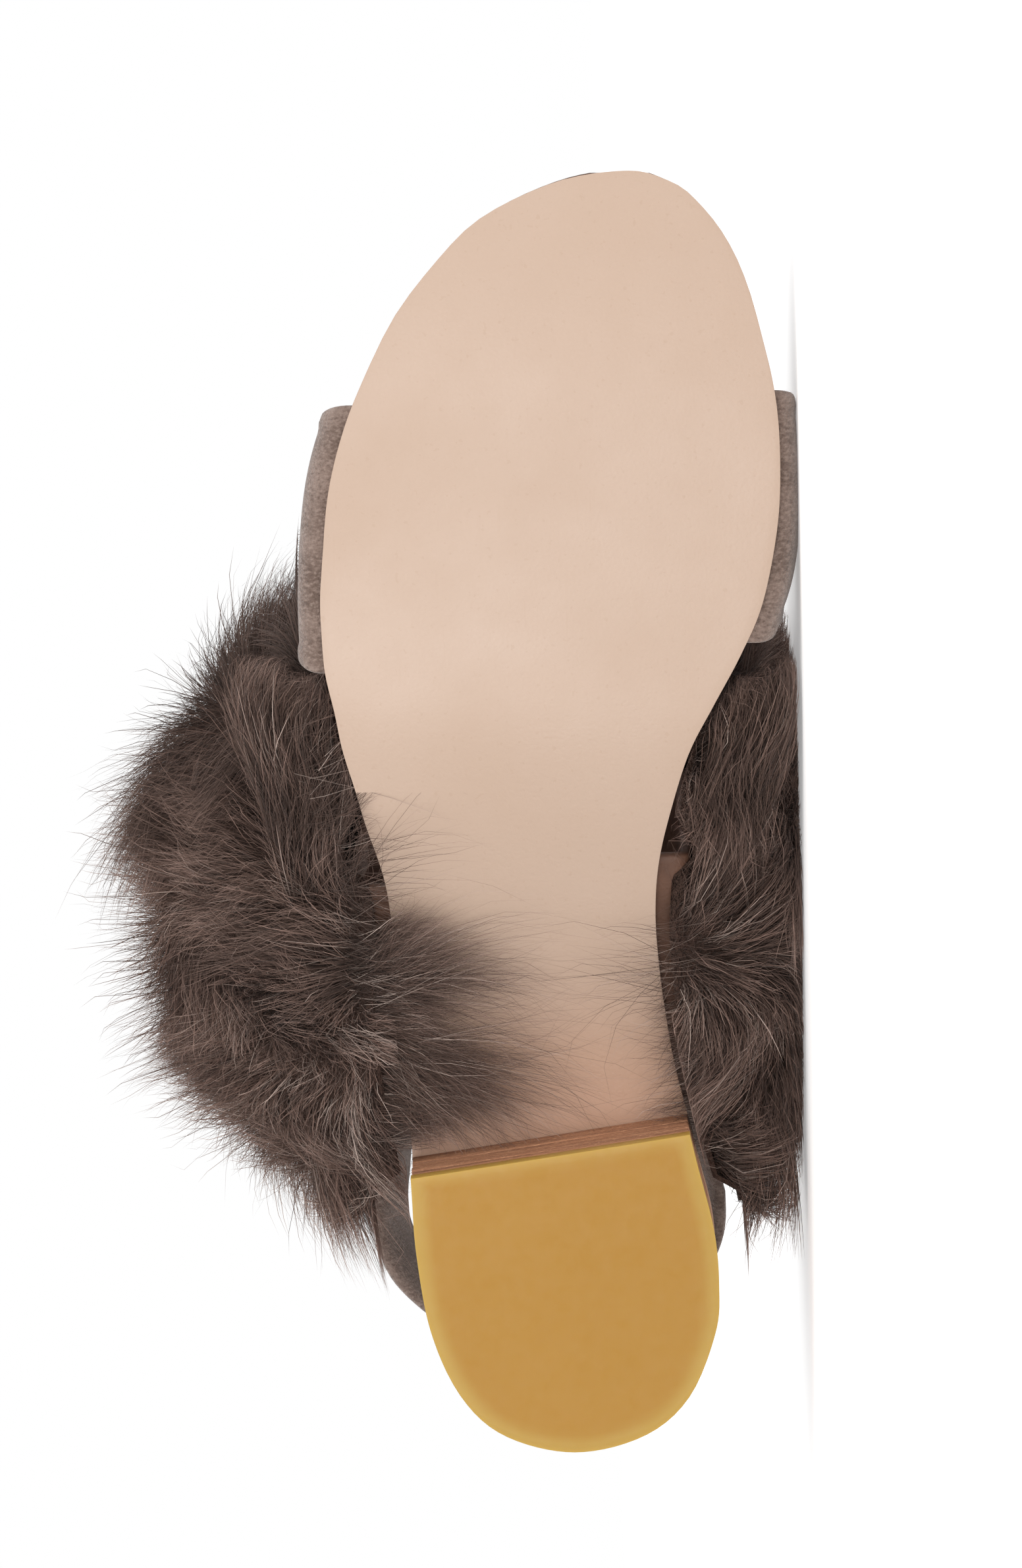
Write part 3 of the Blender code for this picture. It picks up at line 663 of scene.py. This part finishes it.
def archPlace(turn, y, wall, lift=0.0):  # a place on a strap: turn runs from 0 inside to 180 outside
    crown, outerSwell, innerSwell, lean = lastAt(y)
    base = underside(y) + insoleLayer["bottom"] + wall / 2
    inner = edgeX(y, -1) - innerSwell * soleShape["ballWidth"] + wall / 2 - lift
    outer = edgeX(y, 1) + outerSwell * soleShape["ballWidth"] - wall / 2 + lift
    angle = np.radians(turn)
    power = 2 / lastShape["roundness"]
    rise = np.abs(np.sin(angle)) ** power
    x = (inner + outer) / 2 - (outer - inner) / 2 * (signedPower(np.cos(angle), power) + lean * rise)
    z = base + lastShape["bend"] + (crown * lastShape["instepHeight"] + lift) * rise
    return asRows(x, y, z)


def strapEdge(turn, strapEnds):  # where a strap's edge crosses, from its share at the sole and the crown
    inner, crown, outer = strapEnds
    base = np.where(turn <= 90, inner, outer)
    return mix(base, crown, eased(np.abs(np.sin(np.radians(turn))))) * soleLength


strapPath = {
    "tuck": 0.05,  # shares of its path that lie under the insole, and in the bend beside it
    "bend": 0.04,
    "tuckDepth": 0.009,
    "cornerRun": 0.085,
}


def strapPlace(path, share, strap):  # path: tuck, bend, arch, bend and tuck
    tuck, bend = strapPath["tuck"], strapPath["bend"]
    turn = np.clip((path - tuck - bend) / (1 - 2 * tuck - 2 * bend), 0, 1) * 180
    near = np.minimum(path, 1 - path)
    drawn = mix(*strap["corners"], eased((path - 0.3) / 0.4)) * eased((near - tuck) / strapPath["cornerRun"])
    y = mix(strapEdge(turn, strap["rear"]) + drawn, strapEdge(turn, strap["front"]) - drawn, share)
    places = archPlace(turn, y, strap["wall"])
    side = np.where(path < 0.5, -1.0, 1.0)
    radius = lastShape["bend"]
    floor = underside(y) + insoleLayer["bottom"] + strap["wall"] / 2
    corner = places[:, 0] - side * radius
    around = np.radians(90 * np.clip((near - tuck) / bend, 0, 1))
    bent = asRows(corner + side * radius * np.sin(around), y, floor + radius * (1 - np.cos(around)))
    tucked = np.where(side > 0, edgeX(y, 1), edgeX(y, -1)) - side * strapPath["tuckDepth"]
    flat = asRows(mix(corner, tucked, np.clip(1 - near / tuck, 0, 1)), y, floor)
    places = np.where((near < tuck + bend)[:, None], bent, places)
    return np.where((near < tuck)[:, None], flat, places)


def strapPiece(name, strap):
    return gridPiece(name, *strap["grid"], lambda u, v: strapPlace(u, v, strap))


def giveWall(piece, strap, segments):
    modify(piece, "SOLIDIFY", thickness=strap["wall"], offset=0.0, use_even_offset=True)
    roundEdges(piece, strap["rounding"], segments, 60)


toeBand = {
    "wall": 0.0020,
    "rear": (0.636, 0.640, 0.612),
    "front": (0.832, 0.786, 0.820),
    "corners": (0.0026, 0.0046),  # drawn in beside the sole, at the inner and the outer end
    "rounding": 0.0007,
    "grid": (150, 46),
    "rowWidth": 0.0011,
    "hem": 0.0028,
    "hemFade": 0.0008,
    "hemRise": 0.00045,
    "waves": (0.0005, 0.030),  # height and size
    "centre": (0.0, 0.17, 0.02),
}


def buildToeBand():
    piece = strapPiece("toeBandSuede", toeBand)
    shape = shoePlaces(piece)
    height, size = toeBand["waves"]
    waves = ripple(shape * (1, 1.6, 1), size, 11)[:, 0] * height
    normals = readAll(piece.data.vertices, "normal")
    centre = toFloor(np.array([toeBand["centre"]]))[0]
    outward = np.sign(np.sum(normals * (toFloor(shape) - centre), axis=1))[:, None]
    across, along = toeBand["grid"]
    row = np.arange(len(shape)) // (across + 1)
    fromEdge = np.minimum(row, along - row) * toeBand["rowWidth"]
    hem = toeBand["hemRise"] * (1 - eased((fromEdge - toeBand["hem"]) / toeBand["hemFade"]))
    moved = toFloor(shape) + normals * outward * (waves + hem)[:, None]
    moved[:, 2] = np.maximum(moved[:, 2], toeBand["wall"] / 2 + 0.0001)
    piece.data.vertices.foreach_set("co", moved.ravel())
    giveWall(piece, toeBand, 3)
    finishPiece(piece, looks["taupeSuede"], ["toe_band"], 60)


buildToeBand()
print("toe band made")


instepStrap = {
    "wall": 0.0022,
    "rear": (0.262, 0.362, 0.254),
    "front": (0.466, 0.556, 0.440),
    "corners": (0.0, 0.0),
    "rounding": 0.0006,
    "grid": (130, 30),
}


def buildInstepStrap():
    piece = strapPiece("instepStrapLining", instepStrap)
    giveWall(piece, instepStrap, 2)
    finishPiece(piece, looks["brownLining"], ["instep_and_back_strap"], 60)


backStrap = {
    "width": 0.0150,
    "thickness": 0.0042,
    "height": 0.046,
    "drop": 0.006,
    "halfWidth": 0.0315,
    "widest": 0.150,
    "rear": 0.045,
    "roundness": 2.5,
    "flare": 0.0025,
    "joint": 0.80,  # where its ends meet the instep strap, on the way up that strap's rear edge
    "overlap": (0.016, 0.010, 0.004),
    "sink": 0.0006,
    "creases": (0.05, 95),
    "grid": (28, 150),
}
strapJoint = mix(instepStrap["rear"][2], instepStrap["rear"][1], backStrap["joint"]) * soleLength
backStrapMiddle = soleShape["heelHeight"] + insoleTop + backStrap["height"]


def archX(y, height, side):  # where the instep strap lies at a station and a height
    turns = np.linspace(0, 90, 91) if side < 0 else np.linspace(180, 90, 91)
    places = archPlace(turns, np.full(91, y), instepStrap["wall"])
    return float(np.interp(height, places[:, 2], places[:, 0]))


def buildBackStrap():
    inset = (instepStrap["wall"] + backStrap["thickness"]) / 2 - backStrap["sink"]
    outerEnd, innerEnd = ([(archX(y, backStrapMiddle, side) - side * inset, y, 0, 0)
                           for y in (strapJoint + step for step in backStrap["overlap"])] for side in (1, -1))
    turns = np.linspace(0, math.pi, 61)
    power = 2 / backStrap["roundness"]
    widest, rear = (backStrap[key] * soleLength for key in ("widest", "rear"))
    aroundHeel = np.stack([backStrap["halfWidth"] * signedPower(np.cos(turns), power),
                           mix(widest, rear, np.sin(turns) ** power), np.sin(turns), 0 * turns + 1], 1)
    line = np.concatenate([outerEnd, aroundHeel, innerEnd[::-1]])  # x, y, sag, and whether it runs free
    travel = np.concatenate([[0], np.cumsum(np.linalg.norm(np.diff(line[:, :2], axis=0), axis=1))])
    travel /= travel[-1]

    def place(u, v):
        x, y, sag, free = (np.interp(v, travel, line[:, k]) for k in range(4))
        ahead, behind = np.clip(v + 0.01, 0, 1), np.clip(v - 0.01, 0, 1)
        runX = np.interp(ahead, travel, line[:, 0]) - np.interp(behind, travel, line[:, 0])
        runY = np.interp(ahead, travel, line[:, 1]) - np.interp(behind, travel, line[:, 1])
        size = np.hypot(runX, runY)
        sideX, sideY = -runY / size, runX / size
        angle = 2 * math.pi * u
        level = signedPower(np.cos(angle), 0.75)
        thick = signedPower(np.sin(angle), 0.8) * backStrap["thickness"] / 2
        depth, pace = backStrap["creases"]
        out = (thick - backStrap["flare"] * level * free) * (1 + depth * np.sin(v * pace) * free)
        z = backStrapMiddle - backStrap["drop"] * sag + level * backStrap["width"] / 2
        return asRows(x + sideX * out, y + sideY * out, z)

    piece = gridPiece("backStrapSuede", *backStrap["grid"], place, closed=True)
    finishPiece(piece, looks["taupeSuede"], (), 60)


buildInstepStrap()
buildBackStrap()
print("instep and back straps made")


# The fur: a dark core over the instep strap, then strands that grow through it

fur = {
    "centre": (0.0060, 0.0980, 0.0620),
    "reach": (0.0780, 0.0640),  # across, along
    "rise": 0.0740,
    "fall": 0.0575,
    "roundness": 2.5,
    "spread": 0.90,
    "hang": 70.0,
    "coreShare": 0.72,
    "coreHem": 0.06,
    "overStrap": 0.0013,  # where its roots lie
    "overTread": 0.0030,
    "shares": (0.0, 0.30, 0.58, 0.81, 1.0),
    "lying": (0.004, 0.016),  # how far a hair's end lies over along the surface
    "swirl": 1.0,
    "sweep": 0.9,
    "strandWidth": 0.00015,
    "widths": {"pile": (1, 0.5, 1.35), "overSole": (0.62, 0.6, 1.2), "overBackStrap": (1, 0.5, 1.2)},
    "clumps": 2400,
    "clumpStart": 0.62,
    "clumpPull": 0.46,
    "wispOver": 0.91,  # a draw over this makes a hair a loose wisp
    "floorSoftness": 0.005,
    "seed": 12,
    "zones": {  # share round the strap from the inner side, number of strands
        "furInner": (0.0, 0.18, 24000), "furCrownInner": (0.16, 0.40, 16500),
        "furCrown": (0.38, 0.62, 15000), "furCrownOuter": (0.60, 0.84, 18000),
        "furOuter": (0.81, 1.0, 24200),
    },
    "hangingEdge": (0.1465, 0.047),  # how far it reaches beside the sole, ahead and behind
    "besideSole": (  # from and to along each side of the sole, hairs, their lengths
        (0.100, 0.143, 3200, (0.010, 0.026)), (0.066, 0.044, 1100, (0.010, 0.026)),
    ),
    "overBackStrap": (0.057, 0.047, 1000, (0.018, 0.036)),  # the same on the outer side only
    "overSole": (  # side, from and to along the shoe, number, reach over the sole, fan in degrees
        (1, 0.059, 0.101, 5400, 0.030, 30), (1, 0.055, 0.080, 1700, 0.021, -30),
        (1, 0.088, 0.150, 420, 0.018, 46),
        (-1, 0.070, 0.104, 150, 0.027, -16), (-1, 0.052, 0.088, 420, 0.011, -24),
    ),
}


def envelope(turn, along):  # the rounded outer form of the hair
    centre, reach = np.array(fur["centre"]), fur["reach"]
    size = (1 - np.minimum(np.abs(along), 1) ** fur["roundness"]) ** (1 / fur["roundness"])
    angle = np.radians(turn)
    height = np.where(np.sin(angle) > 0, fur["rise"], fur["fall"])
    across, up = reach[0] * size * np.cos(angle), height * size * np.sin(angle)
    return centre + asRows(across, reach[1] * along, up)


def besideSole(places, room=0.0012):  # pushed out beside the sole and the straps' ends
    x, y, z = places.T
    side = np.where(x > 0, 1.0, -1.0)
    _, outerSwell, innerSwell, _ = lastAt(y)
    swell = np.where(side > 0, outerSwell, innerSwell) * soleShape["ballWidth"]
    swell = swell * (z > underside(y) + insoleLayer["bottom"])
    strapFront = max(instepStrap["front"][0], instepStrap["front"][2]) * soleLength
    swell = swell * (1 - eased((y - strapFront - 0.001) / 0.008) * (z < 0.045))
    edge = np.where(side > 0, edgeX(y, 1), edgeX(y, -1)) + side * (room + swell)
    inside = (z < fur["centre"][2]) & (side * (x - edge) < 0)
    return asRows(np.where(inside, edge, x), y, z)


def besideBackStrap(places, room=0.0020):
    x, y, z = places.T
    edge = backStrap["halfWidth"] + backStrap["thickness"] / 2 + backStrap["flare"] + room
    level = np.abs(z - backStrapMiddle) < backStrap["width"] / 2 + 3 * room
    held = (y < strapJoint) & level & (np.abs(x) < edge)
    return asRows(np.where(held, np.where(x > 0, edge, -edge), x), y, z)


def behindToeBand(places, room=0.0015):  # never through the toe band's arch
    limit = min(toeBand["rear"]) * soleLength - room
    crown, outerSwell, _, _ = lastAt(np.array([limit]))
    sides = [float(edgeX(limit, side)) for side in (-1, 1)]
    half = (sides[1] - sides[0]) / 2 + outerSwell[0] * soleShape["ballWidth"] + 2 * room
    height = crown[0] * lastShape["instepHeight"] + 3 * room
    across = np.abs((places[:, 0] - sum(sides) / 2) / half) ** lastShape["roundness"]
    over = (np.maximum(0, places[:, 2] - 0.004) / height) ** lastShape["roundness"]
    held = (places[:, 1] > limit) & (across + over < 1)
    return asRows(places[:, 0], np.where(held, limit, places[:, 1]), places[:, 2])


def overTread(places):  # never down to the ground that the standing shoe treads on
    return asRows(places[:, 0], places[:, 1], np.maximum(places[:, 2], fur["overTread"]))


def onFloor(places):  # hair that would pass through the floor lies along it
    soft = fur["floorSoftness"]
    z = places[:, 2]
    pressed = soft * np.exp(np.minimum((z - soft) / soft, 0))
    return asRows(places[:, 0], places[:, 1], np.where(z < soft, pressed, z))


def overTreadAndFloor(places):
    return onFloor(toFloor(overTread(places)))


def keptClear(places):  # clear of the tread, the sole, the other straps and the floor
    return onFloor(toFloor(behindToeBand(besideBackStrap(besideSole(overTread(places))))))


def strapRoot(u, v):
    turn = 180 * u
    rear, front = strapEdge(turn, instepStrap["rear"]), strapEdge(turn, instepStrap["front"])
    return archPlace(turn, mix(rear, front, v), instepStrap["wall"], fur["overStrap"])


def pileRoot(u, v):  # the strap, and beside the sole a hanging edge ahead of it and behind it
    root = strapRoot(u, v)
    low = eased((np.abs(2 * u - 1) - 0.62) / 0.34)
    front, rear = fur["hangingEdge"]
    y = mix(root[:, 1], front, low * eased((v - 0.66) / 0.34))
    y = mix(y, rear, low * eased((0.34 - v) / 0.34))
    return besideSole(asRows(root[:, 0], y, root[:, 2]))


def pileTip(u, v):  # the same shares on the outer form
    turn = mix(180 + fur["hang"], -fur["hang"], u)
    return besideSole(overTread(envelope(turn, fur["spread"] * (2 * v - 1))))


def buildCore():
    hem = fur["coreHem"]

    def place(u, v):
        held = np.clip((v - hem) / (1 - 2 * hem), 0, 1)
        rise = fur["coreShare"] * eased(np.minimum(v, 1 - v) / hem)
        tip = behindToeBand(besideBackStrap(pileTip(u, held)))
        return toShoe(keptClear(mix(pileRoot(u, held), tip, rise[:, None])))

    piece = gridPiece("furCore", 90, 40, place)
    modify(piece, "SOLIDIFY", thickness=0.0010, offset=-1.0)
    places = readAll(piece.data.vertices)
    places[:, 2] = np.maximum(places[:, 2], 0.0002)
    piece.data.vertices.foreach_set("co", places.ravel())
    finishPiece(piece, looks["underFur"], ["instep_fur"], 60)


def swirl(places):  # outward from the pile, and the way the hair lies over its surface
    centre = np.array(fur["centre"])
    outward = (places - centre) * (1.0, 1.1, 1.15)
    outward /= np.linalg.norm(outward, axis=1)[:, None]
    away = (places - centre) * (1.0, 1.3, 0.0)
    away /= np.linalg.norm(away, axis=1)[:, None] + 1e-9
    turning = ripple(places, 0.052, 21) + ripple(places, 0.019, 22) * 0.6
    flow = turning * fur["swirl"] + away * fur["sweep"] + np.array((0.0, -0.15, -0.10))
    flow -= outward * np.sum(flow * outward, axis=1)[:, None]
    return flow, outward


def makeClumps(chance):  # the tips towards which neighbouring hairs gather
    count = fur["clumps"]
    u, v = chance.uniform(0, 1, count), chance.uniform(0, 1, count)
    root, tip = pileRoot(u, v), pileTip(u, v)
    start = mix(root, tip, fur["clumpStart"])
    lying = swirl(tip)[0] * chance.uniform(*fur["lying"], (count, 1))
    end = mix(root, tip, chance.uniform(0.88, 1.04, (count, 1))) + lying
    end += chance.normal(0, 0.0015, (count, 3))
    return {"u": u, "v": v, "start": start, "run": end - start, "shade": chance.uniform(0, 1, count)}


def nearestClump(u, v, clumps):
    tree = kdtree.KDTree(len(clumps["u"]))
    for k, spot in enumerate(zip(clumps["u"] * 3.0, clumps["v"])):
        tree.insert((*spot, 0), k)
    tree.balance()
    return np.array([tree.find((a, b, 0))[1] for a, b in zip(u * 3.0, v)])


def curves(root, first, second, tip, shares, settle=keptClear):  # each hair's points, settled one by one
    points = []
    for share in shares:
        rest = 1 - share
        points.append(settle(rest ** 3 * root + 3 * rest ** 2 * share * first
                             + 3 * rest * share ** 2 * second + share ** 3 * tip))
    return np.stack(points, 1)


def strandLines(u, v, chance, clumps):
    count = len(u)
    own = nearestClump(u, v, clumps)
    rim = eased((np.abs(2 * v - 1) - 0.72) / 0.28)[:, None]  # the strap's edges, where hair shows to its root
    depth = chance.uniform(mix(0.50, 0.06, rim), 0.70)
    root, tip = pileRoot(u, v), pileTip(u, v)
    start = mix(root, tip, depth)
    flow, outward = swirl(tip)
    wisp = (chance.uniform(0, 1, (count, 1)) > fur["wispOver"]) * 1.0
    reach = mix(chance.uniform(0.80, 1.0, (count, 1)), chance.uniform(1.0, 1.18, (count, 1)), wisp)
    reach = mix(reach, np.minimum(depth + chance.uniform(0.25, 0.45, (count, 1)), 1.05), rim * 0.7)
    lying = chance.uniform(*fur["lying"], (count, 1)) * (1 - 0.4 * wisp)
    aim = mix(root, tip, reach) + flow * lying
    aim[:, 1] += np.where(v > 0.5, 1, -1) * rim[:, 0] * chance.uniform(0.0, 0.008, count)
    pull = np.minimum(fur["clumpPull"] * chance.uniform(0.3, 1.5, (count, 1)), 0.92)
    pull = pull * (1 - wisp) * (1 - rim * 0.6)
    gathered = clumps["start"][own] + clumps["run"][own] * chance.uniform(0.8, 1.12, (count, 1))
    aim = mix(aim, gathered, pull) + chance.normal(0, 0.0018, (count, 3))
    size = np.linalg.norm(aim - start, axis=1)[:, None]
    bend = (ripple(start, 0.011, 31) * 0.14 + chance.normal(0, 0.07, (count, 3))) * size
    first = start + outward * size * 0.42 + bend
    second = mix(start, aim, 0.70) + outward * size * 0.16 - bend * 0.6 + chance.normal(0, 0.0012, (count, 3))
    lines = curves(start, first, second, aim, fur["shares"])
    shade = 0.52 * clumps["shade"][own] + 0.48 * chance.uniform(0, 1, count)
    paintedLightNearHeel = 0.14 * eased((0.090 - start[:, 1]) / 0.030)  # painted light: paler on the outer side, near the heel
    paintedShadeTowardToe = 0.46 * eased((start[:, 1] - 0.104) / 0.034)  # painted shade: darker toward the toe
    # painted light and shade over the outer side's strands, by where they start
    shade += (start[:, 0] > 0) * (paintedLightNearHeel - paintedShadeTowardToe)
    return lines, np.clip(shade, 0, 0.999)


overSoleShares = np.linspace(0, 1, len(fur["shares"]) + 1)


def overSoleLines(chance, side, low, high, count, reach, fan):  # hair that curls round the sole's edge
    share = chance.beta(1.7, 1.7, count)
    y = mix(low, high, share)
    ragged = np.maximum(1 + 0.50 * ripple(asRows(y, 0 * y, 0 * y), 0.012, 51 + side)[:, 0], 0.2)
    rounded = np.sin(math.pi * (0.04 + 0.92 * share)) ** 0.6
    length = reach * chance.uniform(0.05, 1, count) ** 1.4 * ragged * rounded
    length = length * np.where(chance.uniform(0, 1, count) > 0.95, 1.35, 1.0)
    angle = np.radians(fan * (2 * share - 1) + chance.normal(0, 15, count)
                       + 22 * ripple(asRows(y, 0 * y, length * 0.5), 0.014, 61)[:, 0])
    curl = length * chance.normal(0.14, 0.20, count)
    inward, forward = np.cos(angle), np.sin(angle)

    def spot(run, aside, drop):
        away = y + run * forward + aside * inward
        x = edgeX(away, side) - side * (run * inward - aside * forward)
        return asRows(x, away, underside(away) - drop)

    back = chance.uniform(0.003, 0.012, count)
    root = spot(-back, 0 * y, chance.uniform(-0.004, 0.001, count))
    first = spot(-back * 0.7, 0 * y, chance.uniform(0.003, 0.009, count))
    second = spot(length * 0.55, curl, chance.uniform(0.002, 0.008, count))
    aim = spot(length, -0.3 * curl, chance.uniform(0.0008, 0.0060, count))
    lines = curves(root, first, second, aim, overSoleShares, overTreadAndFloor)
    return lines, 0.02 + 0.97 * chance.uniform(0, 1, count) ** 1.35


def besideSoleLines(chance, side, start, end, count, lengths):  # hair that lies along beside the sole
    heading = 1.0 if end > start else -1.0
    y = mix(start, end, chance.uniform(0, 1, count))
    length = chance.uniform(*lengths, count)
    across = chance.uniform(0.0012, 0.017, count)
    depth = chance.uniform(0.002, 0.020, count)
    limit = 0.1505 - chance.uniform(0, 0.016, count) ** 1.2 * (across < 0.010)

    def spot(run, aside, drop):
        along = np.clip(y + heading * run, 0.022, limit - 0.25 * np.maximum(limit - y - run, 0))
        x = edgeX(along, side) + side * np.maximum(across + aside, 0.0008)
        return overTread(asRows(x, along, underside(along) + 0.004 + depth - drop))

    place = asRows(y, across, depth)
    turn = 0.006 * ripple(place, 0.017, 71)[:, 0] + chance.normal(0, 0.0022, count)
    root, first = spot(-0.3 * length, 0.002, -0.003), spot(0 * length, 0.004, 0.001)
    aim = spot(0.7 * length, turn, chance.uniform(0.0, 0.004, count))
    second = spot(0.4 * length, 0.002 + turn * 0.3, 0.003) + chance.normal(0, 0.0012, (count, 3))
    lines = curves(root, first, second, aim, fur["shares"])
    tone = 0.42 + 0.42 * ripple(place, 0.009, 72)[:, 0]
    return lines, np.clip(0.5 * tone + 0.5 * chance.uniform(0, 1, count) ** 1.3, 0, 0.999)


def strandPiece(name, kind, lines, shade, shares, chance):  # each strand is one thin tapering ribbon
    scale, *widths = fur["widths"][kind]
    width = fur["strandWidth"] * scale * chance.uniform(*widths, len(lines))
    count, points = lines.shape[:2]
    run = np.gradient(lines, axis=1)
    run /= np.linalg.norm(run, axis=2, keepdims=True) + 1e-12
    facing = chance.normal(size=(count, 1, 3))
    side = np.cross(run, facing)
    side /= np.linalg.norm(side, axis=2, keepdims=True) + 1e-12
    taper = (1 - shares ** 3)[None, :, None] * width[:, None, None] / 2
    pairs = np.stack([(lines - side * taper)[:, :-1], (lines + side * taper)[:, :-1]], 2)
    vertices = np.concatenate([pairs.reshape(count, -1, 3), lines[:, -1:]], 1)
    vertices[:, :, 2] = np.maximum(vertices[:, :, 2], 0.0001)
    each = vertices.shape[1]
    first = (np.arange(count) * each)[:, None]
    quads = np.array([(2 * k, 2 * k + 1, 2 * k + 3, 2 * k + 2) for k in range(points - 2)])
    end = 2 * points - np.array([4, 3, 2])
    corners = np.concatenate([first + quads.ravel(), first + end], 1).ravel()
    sizes = np.tile([4] * (points - 2) + [3], count)
    mesh = bpy.data.meshes.new(name)
    mesh.vertices.add(count * each)
    mesh.vertices.foreach_set("co", vertices.reshape(-1).astype(np.float32))
    mesh.loops.add(len(corners))
    mesh.loops.foreach_set("vertex_index", corners.astype(np.int32))
    mesh.polygons.add(len(sizes))
    starts = np.concatenate([[0], np.cumsum(sizes)[:-1]])
    mesh.polygons.foreach_set("loop_start", starts.astype(np.int32))
    mesh.polygons.foreach_set("use_smooth", np.ones(len(sizes), bool))
    mesh.update(calc_edges=True)
    column = np.floor(shade * 255)[:, None]
    u = (column + np.array([0.1, 0.9] * (points - 1) + [0.5])) / 256
    v = np.tile(np.concatenate([np.repeat(shares[:-1], 2), shares[-1:]]), (count, 1))
    spots = np.stack([u, v], 2).reshape(-1, 2)[corners]
    mesh.uv_layers.new(name="strand").data.foreach_set("uv", spots.ravel().astype(np.float32))
    finishPiece(newObject(name, mesh), looks["strandFur"], (), 180)


def joined(groups):  # several groups of lines and shades as one
    return [np.concatenate(rows) for rows in zip(*groups)]


def buildStrands():
    chance = np.random.default_rng(fur["seed"])
    clumps = makeClumps(chance)
    shares = np.array(fur["shares"])
    for name, (low, high, count) in fur["zones"].items():
        u = chance.uniform(low, high, count)
        v = np.clip(chance.beta(0.9, 0.9, count), 0, 1)
        groups = [strandLines(u, v, chance, clumps)]
        side = {"furInner": -1, "furOuter": 1}.get(name, 0)
        groups += [besideSoleLines(chance, side, *row) for row in fur["besideSole"] if side]
        strandPiece(name, "pile", *joined(groups), shares, chance)
    tufts = joined([overSoleLines(chance, *tuft) for tuft in fur["overSole"]])
    strandPiece("furOverSole", "overSole", *tufts, overSoleShares, chance)
    hanging = besideSoleLines(chance, 1, *fur["overBackStrap"])
    strandPiece("furOverStrap", "overBackStrap", *hanging, shares, chance)


buildCore()
buildStrands()
print("fur made")


# Floor, light and camera

studio = {
    "floorSize": 12.0,
    "floorColour": (0.84, 0.84, 0.84, 1),
    "floorGlow": 0.30,
    "worldColour": (1.0, 1.0, 1.0, 1),
    "worldStrength": 1.0,
    "distance": 1.60,
    "viewHeight": 0.29426,
    "target": (0.0075, 0.12838, 0.0),
    "tilt": 8.5,  # degrees toward the toe
    "lights": {  # place, aim, size, power
        "keyLight": ((1.10, -0.95, 0.85), (0, 0, 0.06), 0.8, 7),
        "frontLight": ((-0.10, -1.50, 0.20), (0, 0, 0.05), 0.5, 7),
    },
}


def buildFloor():
    pickNothing()
    bpy.ops.mesh.primitive_plane_add(size=studio["floorSize"])
    floor = bpy.context.object
    floor.name = "studioFloor"
    material = newMaterial("studioFloor", Roughness=0.9, **{
        "Base Color": studio["floorColour"], "Emission Color": studio["worldColour"],
        "Emission Strength": studio["floorGlow"]})[0]
    floor.data.materials.append(material)
    floor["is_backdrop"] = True


def areaLight(name, place, aim, size, power):
    data = bpy.data.lights.new(name, "AREA")
    data.shape = "DISK"
    data.size = size
    data.energy = power
    light = newObject(name, data)
    light.location = place
    light.rotation_euler = (Vector(aim) - Vector(place)).to_track_quat("-Z", "Y").to_euler()


def buildLights():
    world = bpy.data.worlds.new("studio")
    bpy.context.scene.world = world
    world.use_nodes = True
    background = world.node_tree.nodes["Background"]
    background.inputs["Color"].default_value = studio["worldColour"]
    background.inputs["Strength"].default_value = studio["worldStrength"]
    for name, light in studio["lights"].items():
        areaLight(name, *light)


def buildCamera():
    toe, up = (Vector(layDown[:3, k]) for k in (1, 2))
    angle = math.radians(studio["tilt"])
    back = (-up * math.cos(angle) + toe * math.sin(angle)).normalized()
    imageUp = (toe * math.cos(angle) + up * math.sin(angle)).normalized()
    right = imageUp.cross(back)
    target = Vector(toFloor(np.array([studio["target"]]))[0])
    data = bpy.data.cameras.new("photoCamera")
    data.lens = 36 * studio["distance"] / studio["viewHeight"]
    data.clip_start, data.clip_end = 0.05, 50
    camera = newObject("photoCamera", data)
    turn = Matrix((right, imageUp, back)).transposed().to_4x4()
    camera.matrix_world = Matrix.Translation(target + back * studio["distance"]) @ turn
    bpy.context.scene.camera = camera
    print("camera at", tuple(camera.matrix_world.translation))


buildFloor()
buildLights()
buildCamera()
bpy.context.scene.view_settings.view_transform = "Standard"

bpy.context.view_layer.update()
triangles = {piece.name: sum(len(face.vertices) - 2 for face in piece.data.polygons)
             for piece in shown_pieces() if piece.type == "MESH"}
print("triangles", sum(triangles.values()), triangles)
